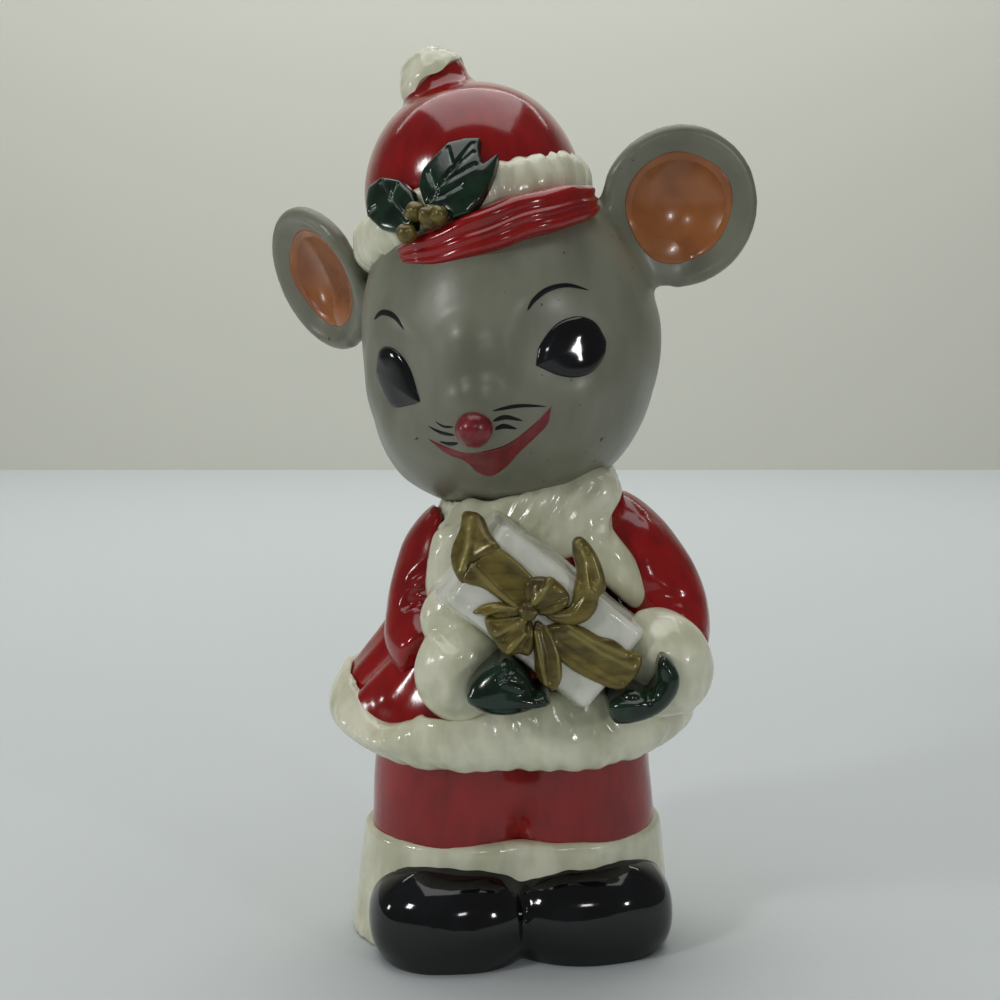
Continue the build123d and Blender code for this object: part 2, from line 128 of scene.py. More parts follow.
class Board:
    def __init__(self, name):
        self.material = bpy.data.materials.new(name)
        self.material.use_nodes = True
        self.tree = self.material.node_tree
        self.tree.nodes.clear()

    def node(self, kind, settings, sockets, output=0):
        made = self.tree.nodes.new(kind)
        for key, value in settings.items():
            if key == "stops":
                for index, (spot, colour) in enumerate(value):
                    stops = made.color_ramp.elements
                    stop = stops[index] if index < 2 else stops.new(spot)
                    stop.position = spot
                    stop.color = (*colour, 1)
            else:
                setattr(made, key, value)
        for key, value in sockets.items():
            if isinstance(value, Flow):
                self.tree.links.new(value.socket, made.inputs[key])
            else:
                made.inputs[key].default_value = value
        return Flow(self, made.outputs[output])

    def maths(self, operation, first, second):
        return self.node("ShaderNodeMath", {"operation": operation}, {0: first, 1: second})

    def between(self, value, low, high):
        # 0 below low, 1 above high, with a smooth step
        settings = {"interpolation_type": "SMOOTHSTEP"}
        return self.node("ShaderNodeMapRange", settings, {"Value": value, "From Min": low, "From Max": high})

    def mixed(self, share, first, second):
        sockets = {0: share, 6: first, 7: second}
        return self.node("ShaderNodeMix", {"data_type": "RGBA"}, sockets, 2)

    def glazed(self, share, kind):
        # From the colour where the glaze pools to the one where it thins out
        thick, thin = glazeColours[kind]
        return self.mixed(share, rgba(*thick), rgba(*thin))

    def marked(self, share, body, kind):
        return self.mixed(share, body, rgba(*markColours[kind]))

    def spots(self, scale, detail=2.0, stretch=(1, 1, 1), turn=(0, 0, 0)):
        # Noise on object coordinates, where scale is in features per millimetre
        where = self.node("ShaderNodeTexCoord", {}, {}, "Object")
        size = [scale * share / millimetre for share in stretch]
        angles = [math.radians(angle) for angle in turn]
        laid = self.node("ShaderNodeMapping", {}, {"Vector": where, "Scale": size, "Rotation": angles})
        sockets = {"Vector": laid, "Scale": 1.0, "Detail": detail, "Roughness": 0.5}
        return self.node("ShaderNodeTexNoise", {}, sockets, 0)

    def bump(self, height, depth):
        # Depth is in millimetres
        sockets = {"Height": height, "Strength": 1.0, "Distance": depth * millimetre}
        return self.node("ShaderNodeBump", {}, sockets)

    def finish(self, sockets):
        surface = self.node("ShaderNodeBsdfPrincipled", {}, sockets)
        output = self.tree.nodes.new("ShaderNodeOutputMaterial")
        self.tree.links.new(surface.socket, output.inputs["Surface"])
        return self.material


def rgba(red, green, blue):
    return (red, green, blue, 1.0)


glazeColours = {  # where each glaze or paint lies thick, and where it thins out
    "red": ((0.21, 0.003, 0.003), (0.33, 0.006, 0.006)),
    "grey": ((0.148, 0.150, 0.106), (0.220, 0.222, 0.164)),
    "white": ((0.60, 0.60, 0.42), (0.80, 0.79, 0.61)),
    "boxWhite": ((0.64, 0.65, 0.55), (0.78, 0.78, 0.70)),
    "black": ((0.0025, 0.0025, 0.003), (0.007, 0.008, 0.009)),
    "green": ((0.002, 0.010, 0.004), (0.007, 0.029, 0.013)),
    "gold": ((0.075, 0.054, 0.008), (0.200, 0.153, 0.028)),
    "orange": ((0.24, 0.066, 0.016), (0.42, 0.145, 0.040)),
    "noseRedEnamel": ((0.13, 0.006, 0.010), (0.22, 0.014, 0.020)),
    "mouthRedEnamel": ((0.13, 0.004, 0.007), (0.21, 0.008, 0.012)),
    "linePaint": ((0.002, 0.002, 0.002), (0.007, 0.007, 0.006)),
}
markColours = {
    "greySpeck": (0.03, 0.03, 0.025),
    "orangeSpeck": (0.05, 0.02, 0.01),
    # paler colour along the leaf veins
    "paleVein": (0.20, 0.27, 0.21),
    # lighter gold, a painted highlight on the raised ridges
    "paintedGoldHighlight": (0.32, 0.27, 0.08),
}


def redGlaze(name="redGlaze", stretch=(1.0, 1.0, 0.3), turn=(0, 0, 0)):
    # Deep red gloss that the brush left thinner in streaks
    board = Board(name)
    streaks = board.spots(0.55, 3.0, stretch, turn)
    pools = board.spots(0.09, 2.0)
    colour = board.glazed(board.between(streaks * 0.4 + pools * 0.6, 0.34, 0.66), "red")
    normal = board.bump(streaks + board.spots(0.25, 1.0) * 2.0, 0.035)
    return board.finish({"Base Color": colour, "Roughness": 0.15, "Coat Weight": 0.2, "Coat Roughness": 0.03,
                         "Normal": normal})


def greyGlaze():
    # Warm grey satin glaze with soft brush marks, paler where it thins, and a few dark specks
    board = Board("greyGlaze")
    brushed = board.spots(0.2, 3.0, (1.0, 1.0, 0.35))
    pools = board.spots(0.06, 2.0)
    body = board.glazed(board.between(brushed * 0.4 + pools * 0.6, 0.34, 0.66), "grey")
    specks = board.between(board.spots(0.9, 1.0), 0.765, 0.80)
    colour = board.marked(specks, body, "greySpeck")
    rough = board.between(pools, 0.2, 0.8) * 0.12 + 0.33
    normal = board.bump(brushed + board.spots(0.5, 2.0), 0.04)
    return board.finish({"Base Color": colour, "Roughness": rough, "Coat Weight": 0.2, "Coat Roughness": 0.24,
                         "Normal": normal})


def whiteGlaze(name="whiteGlaze", turn=(0, 35, 0), depth=0.09, kind="white"):
    # Pearly off-white gloss for the carved fur, that pools greenish in soft random patches
    board = Board(name)
    strokes = board.spots(0.42, 2.0, (1.0, 1.0, 0.22), turn)
    pools = board.spots(0.13, 3.0)
    colour = board.glazed(board.between(strokes * 0.4 + pools * 0.6, 0.36, 0.64), kind)
    rough = board.between(pools, 0.3, 0.7) * 0.1 + 0.14
    normal = board.bump(strokes * 1.4 + board.spots(0.6, 2.0) * 0.6, depth)
    return board.finish({"Base Color": colour, "Roughness": rough, "Coat Weight": 0.3, "Coat Roughness": 0.06,
                         "Normal": normal})


def blackGlaze():
    # Deep black gloss with a slow swell, for boots and eyes
    board = Board("blackGlaze")
    pools = board.spots(0.12, 2.0)
    colour = board.glazed(board.between(pools, 0.4, 0.7), "black")
    normal = board.bump(board.spots(0.22, 1.0), 0.05)
    return board.finish({"Base Color": colour, "Roughness": 0.08, "Coat Weight": 0.05, "Coat Roughness": 0.03,
                         "Normal": normal})


def greenGlaze():
    # Dark green gloss; the vein attribute makes the veins paler
    board = Board("greenGlaze")
    pools = board.spots(0.35, 3.0)
    body = board.glazed(board.between(pools, 0.35, 0.65), "green")
    vein = board.node("ShaderNodeAttribute", {"attribute_name": "vein"}, {}, "Fac")
    paleLine = board.between(vein * 0.8 + board.spots(1.1, 2.0) * 0.45, 0.62, 0.95)
    colour = board.marked(paleLine, body, "paleVein")
    normal = board.bump(pools, 0.06)
    return board.finish({"Base Color": colour, "Roughness": 0.16, "Coat Weight": 0.15, "Coat Roughness": 0.04,
                         "Normal": normal})


def goldGlaze():
    # Olive gold paint, brushed on, with a painted highlight on its ridges
    board = Board("goldGlaze")
    brushed = board.spots(0.9, 3.0, (0.3, 1.0, 1.0), (0, 38, 0))
    pools = board.spots(0.22, 3.0)
    body = board.glazed(board.between(brushed * 0.5 + pools * 0.5, 0.36, 0.66), "gold")
    # Raised ridges, written in this attribute, get a painted highlight in the lighter gold
    ridgeHighlight = board.node("ShaderNodeAttribute", {"attribute_name": "ridgeHighlight"}, {}, "Fac")
    colour = board.marked(ridgeHighlight, body, "paintedGoldHighlight")
    normal = board.bump(brushed + pools, 0.09)
    return board.finish({"Base Color": colour, "Metallic": 0.35, "Roughness": 0.34, "Coat Weight": 0.25,
                         "Coat Roughness": 0.12, "Normal": normal})


def orangeGlaze():
    # Orange-brown gloss with a few dark specks, for the hollows of the ears
    board = Board("orangeGlaze")
    pools = board.spots(0.1, 3.0)
    body = board.glazed(board.between(pools, 0.32, 0.68), "orange")
    specks = board.between(board.spots(0.8, 1.0), 0.775, 0.80)
    colour = board.marked(specks, body, "orangeSpeck")
    return board.finish({"Base Color": colour, "Roughness": 0.24, "Coat Weight": 0.2, "Coat Roughness": 0.06,
                         "Normal": board.bump(pools, 0.06)})


def enamel(kind, rough, shine=0.5):
    # Thick paint from a fine brush, for the face
    board = Board(kind)
    colour = board.glazed(board.between(board.spots(0.8, 2.0), 0.35, 0.65), kind)
    return board.finish({"Base Color": colour, "Roughness": rough, "Coat Weight": 0.1, "Coat Roughness": 0.15,
                         "Specular IOR Level": shine, "Normal": board.bump(board.spots(0.9, 2.0), 0.03)})


glazes = {
    "red": redGlaze(),
    "redSleeve": redGlaze("redSleeveGlaze", (1.0, 1.0, 0.4), (0, 25, 0)),
    "grey": greyGlaze(),
    "white": whiteGlaze(),
    "hemWhite": whiteGlaze("hemWhiteGlaze", (0, -48, 0), 0.16),
    "boxWhite": whiteGlaze("boxWhiteGlaze", (0, 38, 0), 0.05, "boxWhite"),
    "black": blackGlaze(),
    "green": greenGlaze(),
    "gold": goldGlaze(),
    "orange": orangeGlaze(),
    "noseRed": enamel("noseRedEnamel", 0.28),
    "mouthRed": enamel("mouthRedEnamel", 0.4),
    "linePaint": enamel("linePaint", 0.5, 0.15),
}
print("glazes mixed:", len(glazes))


# Clay tools
farOff = 60.0  # how far from the figure's middle a line is cast at its outside


def clamped(value):
    return max(0.0, min(1.0, value))


def fading(gap, reach):
    # 1 at a spot, 0 at the end of its reach
    return (1 - (gap / reach) ** 2) ** 2


def waved(waves, angle):
    # Waves round an edge: height, count and shift of each
    return sum(height * math.sin(count * angle + shift) for height, count, shift in waves)


def crowned(gap, edge):
    # A round shoulder that starts at a rim and is full at an edge's width from it
    return math.sqrt(max(0.0, 1 - (1 - min(gap / edge, 1.0)) ** 2))


def drawn(value):
    # A fixed number, or a random one between two
    return random.uniform(*value) if isinstance(value, tuple) else value


def vertsOf(made):
    return [item for item in made["geom"] if isinstance(item, bmesh.types.BMVert)]


def addBall(bm, place, halves, across=64, around=96):
    # An ellipsoid with these half sizes
    sizes = Matrix.Diagonal((*halves, 1))
    bmesh.ops.create_uvsphere(bm, u_segments=around, v_segments=across, radius=1, matrix=place @ sizes)


def nodeClay(name):
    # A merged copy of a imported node, in millimetres
    clay = bmesh.new()
    clay.from_mesh(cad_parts[name].data)
    bmesh.ops.transform(clay, matrix=Matrix.Scale(1 / millimetre, 4), verts=clay.verts)
    bmesh.ops.remove_doubles(clay, verts=clay.verts, dist=0.002)
    return clay


def joinInto(bm, part):
    # Moves one lump's skin into another
    held = bpy.data.meshes.new("part")
    part.to_mesh(held)
    part.free()
    bm.from_mesh(held)
    bpy.data.meshes.remove(held)


def remeshed(bm, voxel, rounds):
    # Fuses overlapping lumps into one skin and smooths it
    mesh = bpy.data.meshes.new("lump")
    bm.to_mesh(mesh)
    bm.free()
    lump = putInScene("lump", mesh)
    tool = lump.modifiers.new("fuse", "REMESH")
    tool.mode = "VOXEL"
    tool.voxel_size = voxel
    graph = bpy.context.evaluated_depsgraph_get()
    fused = bpy.data.meshes.new_from_object(lump.evaluated_get(graph))
    bpy.data.objects.remove(lump)
    bpy.data.meshes.remove(mesh)
    done = bmesh.new()
    done.from_mesh(fused)
    bpy.data.meshes.remove(fused)
    smoothed(done, done.verts, rounds)
    return done


def smoothed(bm, verts, rounds):
    for turn in range(rounds):
        bmesh.ops.smooth_vert(bm, verts=verts, factor=0.5, use_axis_x=True, use_axis_y=True, use_axis_z=True)
    bm.normal_update()


def treeOf(bm):
    bm.verts.ensure_lookup_table()
    tree = kdtree.KDTree(len(bm.verts))
    for vert in bm.verts:
        tree.insert(vert.co, vert.index)
    tree.balance()
    return tree


def stroke(bm, tree, path, radius, lift):
    # Raises or, with a negative lift, carves the skin along a row of spots
    gaps = {}
    for start, end in zip(path, path[1:]):
        steps = max(1, round((end - start).length / (radius * 0.4)))
        for step in range(steps + 1):
            for spot, index, gap in tree.find_range(start.lerp(end, step / steps), radius):
                gaps[index] = min(gap, gaps.get(index, radius))
    for index, gap in gaps.items():
        vert = bm.verts[index]
        vert.co += vert.normal * lift * fading(gap, radius)


def press(bm, tree, spot, radius, move):
    # Moves the skin round a spot, most in the middle
    for place, index, gap in tree.find_range(Vector(spot), radius):
        bm.verts[index].co += Vector(move) * fading(gap, radius)


def tint(bm, tree, layer, path, reach, steps, strength=1.0, outward=None):
    # Writes an attribute along a row of spots, on the faces that look outwards where that is given
    leastFacing = 0.3
    for start, end in zip(path, path[1:]):
        for step in range(steps):
            for spot, index, gap in tree.find_range(start.lerp(end, step / (steps - 1)), reach):
                vert = bm.verts[index]
                if outward is None or vert.normal.dot(outward) > leastFacing:
                    vert[layer] = max(strength * (1 - gap / reach), vert[layer])


def castPath(skin, pixels):
    # Where the lines of sight through some pixels meet a skin
    spots = [skin.ray_cast(eyePoint, sightLine(*pixel))[0] for pixel in pixels]
    return [spot for spot in spots if spot]


def mark(clay, marks):
    # Strokes where the photograph shows them: pixels, radius and lift of each
    skin = BVHTree.FromBMesh(clay)
    tree = treeOf(clay)
    for pixels, radius, lift in marks:
        stroke(clay, tree, castPath(skin, pixels), radius, lift)


def closePatch(bm, inward, sink):
    # Turns a sheet of paint outwards and gives it walls and a back, sunk into the skin
    bmesh.ops.recalc_face_normals(bm, faces=bm.faces)
    if sum(face.normal.dot(inward) for face in bm.faces) > 0:
        bmesh.ops.reverse_faces(bm, faces=bm.faces)
    skirt = bmesh.ops.extrude_edge_only(bm, edges=[edge for edge in bm.edges if edge.is_boundary])
    bmesh.ops.translate(bm, vec=inward * sink, verts=vertsOf(skirt))
    bmesh.ops.holes_fill(bm, edges=[edge for edge in bm.edges if edge.is_boundary], sides=0)


def ripple(bm, size, lift, seed=0.0):
    # The slight waviness of a hand-finished surface
    for vert in bm.verts:
        vert.co += vert.normal * lift * noise.noise(vert.co / size + Vector((seed, seed, seed)))


def flowing(points, steps, closed=False):
    # A Catmull-Rom curve through points, with the same number of steps in each span
    count = len(points)
    spans = count if closed else count - 1
    pick = (lambda i: points[i % count]) if closed else (lambda i: points[max(0, min(count - 1, i))])
    row = []
    for span in range(spans):
        a, b, c, d = (Vector(pick(span + shift)) for shift in (-1, 0, 1, 2))
        for step in range(steps):
            t = step / steps
            row.append(0.5 * (2 * b + (c - a) * t + (2 * a - 5 * b + 4 * c - d) * t ** 2
                              + (3 * b - a - 3 * c + d) * t ** 3))
    if not closed:
        row.append(Vector(points[-1]))
    return row


def evenly(row, count):
    # Spots at equal distances along a row of points
    lengths = [0.0]
    for start, end in zip(row, row[1:]):
        lengths.append(lengths[-1] + (end - start).length)
    spots = []
    span = 0
    for step in range(count + 1):
        want = lengths[-1] * step / count
        while span < len(row) - 2 and lengths[span + 1] < want:
            span += 1
        width = max(lengths[span + 1] - lengths[span], 1e-9)
        spots.append(row[span].lerp(row[span + 1], min(1.0, (want - lengths[span]) / width)))
    return spots


def keepPiece(name, bm, glaze, nodes=(), place=None):
    # Brings the mesh to its place, writes it in metres, glazes it and sets it on the frame
    if place:
        bmesh.ops.transform(bm, matrix=place, verts=bm.verts)
    bmesh.ops.transform(bm, matrix=Matrix.Scale(millimetre, 4), verts=bm.verts)
    mesh = bpy.data.meshes.new(name)
    bm.to_mesh(mesh)
    bm.free()
    mesh.shade_smooth()
    mesh.materials.append(glazes[glaze])
    piece = putInScene(name, mesh)
    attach(piece, "root")
    if nodes:
        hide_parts(*nodes)
    return piece


def spunProfile(profile, steps, angle=2 * math.pi, start=0.0):
    # Spins a row of (radius, height) about Z
    bm = bmesh.new()
    begin = Matrix.Rotation(start, 4, "Z")
    verts = [bm.verts.new(begin @ Vector((radius, 0, height))) for radius, height in profile]
    edges = [bm.edges.new(pair) for pair in zip(verts, verts[1:])]
    full = angle >= 2 * math.pi
    bmesh.ops.spin(bm, geom=verts + edges, cent=(0, 0, 0), axis=(0, 0, 1), angle=angle, steps=steps,
                   use_merge=full)
    bmesh.ops.remove_doubles(bm, verts=bm.verts, dist=0.0005)
    bmesh.ops.recalc_face_normals(bm, faces=bm.faces)
    return bm


def relief(outline, place, depth, swell, edge, voxel, rounds, lean=None):
    # A slab with the outline's shape, from depth behind the place's plane, that swells in front of it
    rimSteps = 160
    bm = bmesh.new()
    verts = [bm.verts.new((spot.x, spot.y, -depth)) for spot in outline]
    face = bm.faces.new(verts)
    raised = vertsOf(bmesh.ops.extrude_face_region(bm, geom=[face]))
    bmesh.ops.translate(bm, vec=(0, 0, depth), verts=raised)
    bmesh.ops.recalc_face_normals(bm, faces=bm.faces)
    bm = remeshed(bm, voxel, rounds)
    ring = evenly([Vector((spot.x, spot.y, 0)) for spot in [*outline, outline[0]]], rimSteps)
    rim = kdtree.KDTree(len(ring))
    for index, spot in enumerate(ring):
        rim.insert(spot, index)
    rim.balance()
    for vert in bm.verts:
        gap = rim.find(Vector((vert.co.x, vert.co.y, 0)))[2]
        vert.co.z += swell * crowned(gap, edge) * clamped(1 + vert.co.z / depth)
        if lean:
            vert.co.z += lean(vert.co.x, vert.co.y)
    smoothed(bm, bm.verts, 2)
    bmesh.ops.transform(bm, matrix=place, verts=bm.verts)
    bm.normal_update()
    return bm


def fromPixels(pixels, place, steps=6):
    # A smooth closed outline in a place's plane, through what the photograph shows at these pixels
    spots = [onPlane(pixel, place) for pixel in pixels]
    return flowing([Vector((spot.x, spot.y, 0)) for spot in spots], steps, True)


def facing(spot, turn):
    # A place at a spot whose Z axis points to the front, turned about the upright axis
    return moved(*spot) @ turned(turn, "Z") @ turned(90, "X")


# Head: an egg with a snout, cheeks and two dished ears, made as one lump and cut apart at the ears
headPlace = moved(0, 0, 84.0) @ turned(-21.0, "Z") @ turned(-11.5, "Y")
headShape = {"radius": 22.2, "halfWidth": 21.3, "chin": 20.2, "crown": 29.3, "cheekLevel": -1.0,
             "jowl": 2.8, "jowlLevel": -5.0, "jowlFade": 9.0,
             "leftCheekDraw": 0.07, "drawLevel": 1.0, "drawFade": 10.0,
             "snoutRadius": 9.4, "snoutReach": 14.4, "snoutFall": 21.0,
             "voxel": 0.42, "rounds": 10, "waves": (9.0, 0.16)}
headPresses = [  # spot, reach and move on the figure's left; its right is the mirror image
    ((12.2, -18.2, -0.6), 9.0, (-0.35, 1.05, 0)),  # eye socket
    ((14.5, -16.6, -8.6), 8.0, (0.5, -0.75, 0.1)),  # cheek
    ((11.0, -19.0, 7.6), 7.5, (0, -0.35, 0)),  # brow
]
noseBridge = {"path": [(0, -22.4, 3.0), (0, -23.2, -2.0), (0, -23.6, -5.0)], "radius": 4.6, "lift": 0.75}
cheekFold = {"path": [(17.4, -11.4, 9.0), (19.4, -9.4, 3.0)], "radius": 4.2, "lift": -0.28}
earShape = {"back": 3.8, "tip": 14.5, "radius": 11.3, "rim": 1.5, "dish": 3.4, "dishPower": 2.4,
            "backProfile": [(0.85, 2.1), (0.6, 3.0), (0.3, 3.5), (0, 3.6)],  # share of the radius, thickness
            "rootHalf": (9.0, 2.4, 5.8), "rootInset": 8.4, "rootForward": 0.4, "rootDrop": 3.9,
            "rootTurn": 18.0, "rootLean": 16.0, "seamTilt": 15.0, "seamOffset": 22.7}
earFeet = [  # spots on the figure's left that are softened, with the reach and the rounds of smoothing
    ((20.6, 1.5, 8.4), 6.0, 26),
    ((18.0, -2.4, 15.0), 6.5, 14),
    ((19.0, 6.5, 14.0), 6.5, 16),
]
liningShape = {"radius": 7.6, "rings": 26, "around": 96, "thick": 0.16, "sink": 0.4, "castFrom": 12.0,
               "uneven": (0.022, 0.014)}  # shares by which three and five waves widen the edge
ears = {"left": {"side": 1, "out": 26.3, "level": 15.7, "turn": 22.5},
        "right": {"side": -1, "out": 28.1, "level": 17.0, "turn": 38.5}}
eyeOutline = {
    "left": {
        "lower": [(8.2, -2.0), (10.3, -3.7), (12.4, -4.5), (14.3, -4.2), (15.8, -2.6), (16.4, -0.6)],
        "upper": [(8.2, -2.0), (8.5, -0.9), (9.1, 0.5), (10.8, 2.3), (12.4, 3.1), (14.2, 3.1), (15.7, 1.9),
                  (16.4, -0.6)]},
    "right": {
        "lower": [(-8.0, -3.7), (-10.0, -3.9), (-12.8, -3.8), (-14.3, -2.5), (-15.2, 0.0), (-15.1, 1.6)],
        "upper": [(-8.0, -3.7), (-8.2, -1.7), (-8.7, 0.9), (-10.0, 3.2), (-11.9, 4.3), (-13.7, 3.95),
                  (-15.1, 1.6)]},
}
mouthOutline = {
    "upper": [(-8.3, -8.7), (-5.8, -10.3), (-3.1, -11.4), (0.4, -11.5), (3.1, -11.0), (6.1, -9.45),
              (8.9, -7.5)],
    "lower": [(-8.3, -8.7), (-6.5, -11.0), (-4.2, -12.4), (-3.4, -14.2), (-1.9, -15.2), (0.8, -14.3),
              (3.25, -12.7), (6.15, -10.9), (7.9, -9.55), (8.9, -7.5)],
}
paintStrokes = {  # centre lines in the head's frame, and the widest half width of each
    "left_brow": ([(8.5, 5.0), (9.5, 6.2), (11.25, 7.2), (13.4, 7.3), (15.6, 6.2)], 0.34),
    "right_brow": ([(-13.6, 8.2), (-12.2, 8.8), (-10.8, 8.6), (-9.4, 7.7), (-8.2, 5.8)], 0.40),
    "left_whisker_1": ([(2.2, -6.6), (5.2, -6.6), (8.4, -7.4)], 0.24),
    "left_whisker_2": ([(1.9, -7.9), (3.5, -7.7), (5.3, -8.6)], 0.30),
    "left_whisker_3": ([(1.8, -9.0), (3.0, -8.8), (4.4, -9.5)], 0.32),
    "right_whisker_1": ([(-3.6, -7.7), (-5.2, -7.4), (-6.3, -6.6)], 0.17),
    "right_whisker_2": ([(-3.8, -8.8), (-6.1, -8.1), (-7.7, -7.0)], 0.24),
    "right_whisker_3": ([(-3.8, -9.9), (-5.4, -9.8), (-6.8, -9.3)], 0.26),
}


def onSide(side, spot):
    # A spot on the figure's left, or with side -1 its mirror image
    return Vector((side * spot[0], spot[1], spot[2]))


def eggSkin(bm):
    h = headShape
    addBall(bm, Matrix.Identity(4), (1, 1, 1), 96, 144)
    for vert in bm.verts:
        reach = h["crown"] if vert.co.z > 0 else h["chin"]
        rightward = max(0.0, -vert.co.x / max(math.hypot(vert.co.x, vert.co.y), 0.001)) ** 2
        vert.co.x *= h["halfWidth"]
        vert.co.y *= h["radius"]
        vert.co.z = vert.co.z * reach + h["cheekLevel"]
        vert.co.x -= h["jowl"] * clamped((h["jowlLevel"] - vert.co.z) / h["jowlFade"]) * rightward
        if vert.co.x > 0:
            vert.co.x *= 1 - h["leftCheekDraw"] * clamped((h["drawLevel"] - vert.co.z) / h["drawFade"])


def earPlace(ear):
    side = ear["side"]
    return (moved(side * ear["out"], earShape["back"], ear["level"]) @ turned(side * ear["turn"], "Z")
            @ turned(90 + earShape["tip"], "X"))


def dishHeight(radius):
    # The hollow of the ear, from its middle to the rim
    e = earShape
    share = min(1.0, radius / (e["radius"] - e["rim"]))
    return e["rim"] - e["dish"] + e["dish"] * share ** e["dishPower"]


def addEar(bm, ear):
    e = earShape
    side = ear["side"]
    inner = e["radius"] - e["rim"]
    dishSteps, rimSteps = 14, 8
    hollow = [inner * step / dishSteps for step in range(dishSteps + 1)]
    profile = [(radius, dishHeight(radius)) for radius in hollow]
    for step in range(1, rimSteps + 1):
        angle = math.pi / 2 - math.pi * step / rimSteps
        profile.append((inner + e["rim"] * math.cos(angle), e["rim"] * math.sin(angle)))
    profile += [(inner * share, -thick) for share, thick in e["backProfile"]]
    dish = spunProfile(profile, 72)
    bmesh.ops.transform(dish, matrix=earPlace(ear), verts=dish.verts)
    joinInto(bm, dish)
    root = moved(side * (ear["out"] - e["rootInset"]), e["back"] - e["rootForward"],
                 ear["level"] - e["rootDrop"])
    root = root @ turned(side * e["rootTurn"], "Z") @ turned(side * e["rootLean"], "Y")
    addBall(bm, root, e["rootHalf"], 24, 32)


def sculptHead(bm):
    # Soft eye sockets, with the cheek and the brow standing out round them
    tree = treeOf(bm)
    for side in (-1, 1):
        for spot, reach, move in headPresses:
            press(bm, tree, onSide(side, spot), reach, onSide(side, move))
    tree = treeOf(bm)
    stroke(bm, tree, [Vector(spot) for spot in noseBridge["path"]], noseBridge["radius"], noseBridge["lift"])
    for side in (-1, 1):
        # The fold that runs from the ear's foot down into the cheek
        path = [onSide(side, spot) for spot in cheekFold["path"]]
        stroke(bm, tree, path, cheekFold["radius"], cheekFold["lift"])
    smoothed(bm, bm.verts, 2)


def softenEarFeet(bm):
    for side in (-1, 1):
        for spot, reach, rounds in earFeet:
            near = [vert for vert in bm.verts if (vert.co - onSide(side, spot)).length < reach]
            smoothed(bm, near, rounds)


def cutHalf(bm, spot, normal):
    # Cuts away what lies on the normal's side and closes the cut with a flat face
    geom = bm.verts[:] + bm.edges[:] + bm.faces[:]
    bmesh.ops.bisect_plane(bm, geom=geom, dist=1e-5, plane_co=spot, plane_no=normal, clear_outer=True)
    openEdges = [edge for edge in bm.edges if edge.is_boundary]
    bmesh.ops.holes_fill(bm, edges=openEdges, sides=0)
    for edge in openEdges:
        edge.smooth = False
    bm.normal_update()


paintClearance = 0.02  # what keeps paint from lying exactly in the skin
paintSink = 0.35  # how far the walls of a patch reach into the skin
curveSteps = 240
patches = {  # how thick the paint lies, how wide its rounded edge is, and its mesh
    "eye": {"lift": 0.95, "edge": 3.4, "columns": 48, "rows": 40},
    "mouth": {"lift": 0.16, "edge": 0.4, "columns": 120, "rows": 24},
    "line": {"lift": 0.09, "edge": 0.2, "columns": 40, "rows": 8},
}


def skinPatch(skin, lower, upper, kind):
    # A closed patch of thick paint between two curves, laid on the front of the head's skin
    patch = patches[kind]
    inward = Vector((0, 1, 0))
    bm = bmesh.new()
    bmesh.ops.create_grid(bm, x_segments=patch["columns"], y_segments=patch["rows"], size=1)
    low = evenly(flowing([(x, 0, z) for x, z in lower], 8), curveSteps)
    high = evenly(flowing([(x, 0, z) for x, z in upper], 8), curveSteps)
    ring = kdtree.KDTree(len(low) + len(high))
    for index, spot in enumerate(low + high):
        ring.insert(spot, index)
    ring.balance()
    for vert in bm.verts:
        along = round((vert.co.x + 1) / 2 * curveSteps)
        flat = low[along].lerp(high[along], (vert.co.y + 1) / 2)
        rise = patch["lift"] * crowned(ring.find(flat)[2], patch["edge"])
        hit, normal, face, far = skin.ray_cast(flat - inward * farOff, inward)
        vert.co = (hit or flat) + (normal or -inward) * (rise + paintClearance)
    bmesh.ops.remove_doubles(bm, verts=bm.verts, dist=0.01)
    closePatch(bm, inward, paintSink)
    bmesh.ops.recalc_face_normals(bm, faces=bm.faces)
    return bm


brushTaper = {"spots": 24, "early": 0.8, "fullness": 0.7}  # a stroke is widest just before its middle


def brushLine(points, half):
    # The two edges of a tapered brush stroke, from its centre line
    row = evenly(flowing([(x, 0, z) for x, z in points], 8), brushTaper["spots"])
    lower, upper = [], []
    for index, spot in enumerate(row):
        ahead = row[min(index + 1, len(row) - 1)] - row[max(index - 1, 0)]
        across = Vector((-ahead.z, 0, ahead.x)).normalized()
        if across.z < 0:
            across = -across
        along = min(1.0, (index / (len(row) - 1)) ** brushTaper["early"])
        width = half * math.sin(math.pi * along) ** brushTaper["fullness"]
        lower.append((spot.x - across.x * width, spot.z - across.z * width))
        upper.append((spot.x + across.x * width, spot.z + across.z * width))
    return lower, upper


def buildHead():
    h = headShape
    lump = bmesh.new()
    eggSkin(lump)
    fall = math.radians(h["snoutFall"])
    toNose = Vector((0, -math.cos(fall), -math.sin(fall)))
    addBall(lump, Matrix.Translation(toNose * h["snoutReach"]), [h["snoutRadius"]] * 3)
    for ear in ears.values():
        addEar(lump, ear)
    lump = remeshed(lump, h["voxel"], h["rounds"])
    softenEarFeet(lump)
    sculptHead(lump)
    ripple(lump, *h["waves"])
    skin = BVHTree.FromBMesh(lump)
    tilt = math.radians(earShape["seamTilt"])
    for name, ear in ears.items():
        normal = Vector((ear["side"] * math.cos(tilt), 0, math.sin(tilt)))
        seam = normal * earShape["seamOffset"]
        part = lump.copy()
        cutHalf(part, seam, -normal)
        keepPiece(name + "_ear_glazed", part, "grey", [name + "_ear"], headPlace)
        cutHalf(lump, seam, normal)
    keepPiece("head_glazed", lump, "grey", ["head"], headPlace)
    return skin, toNose


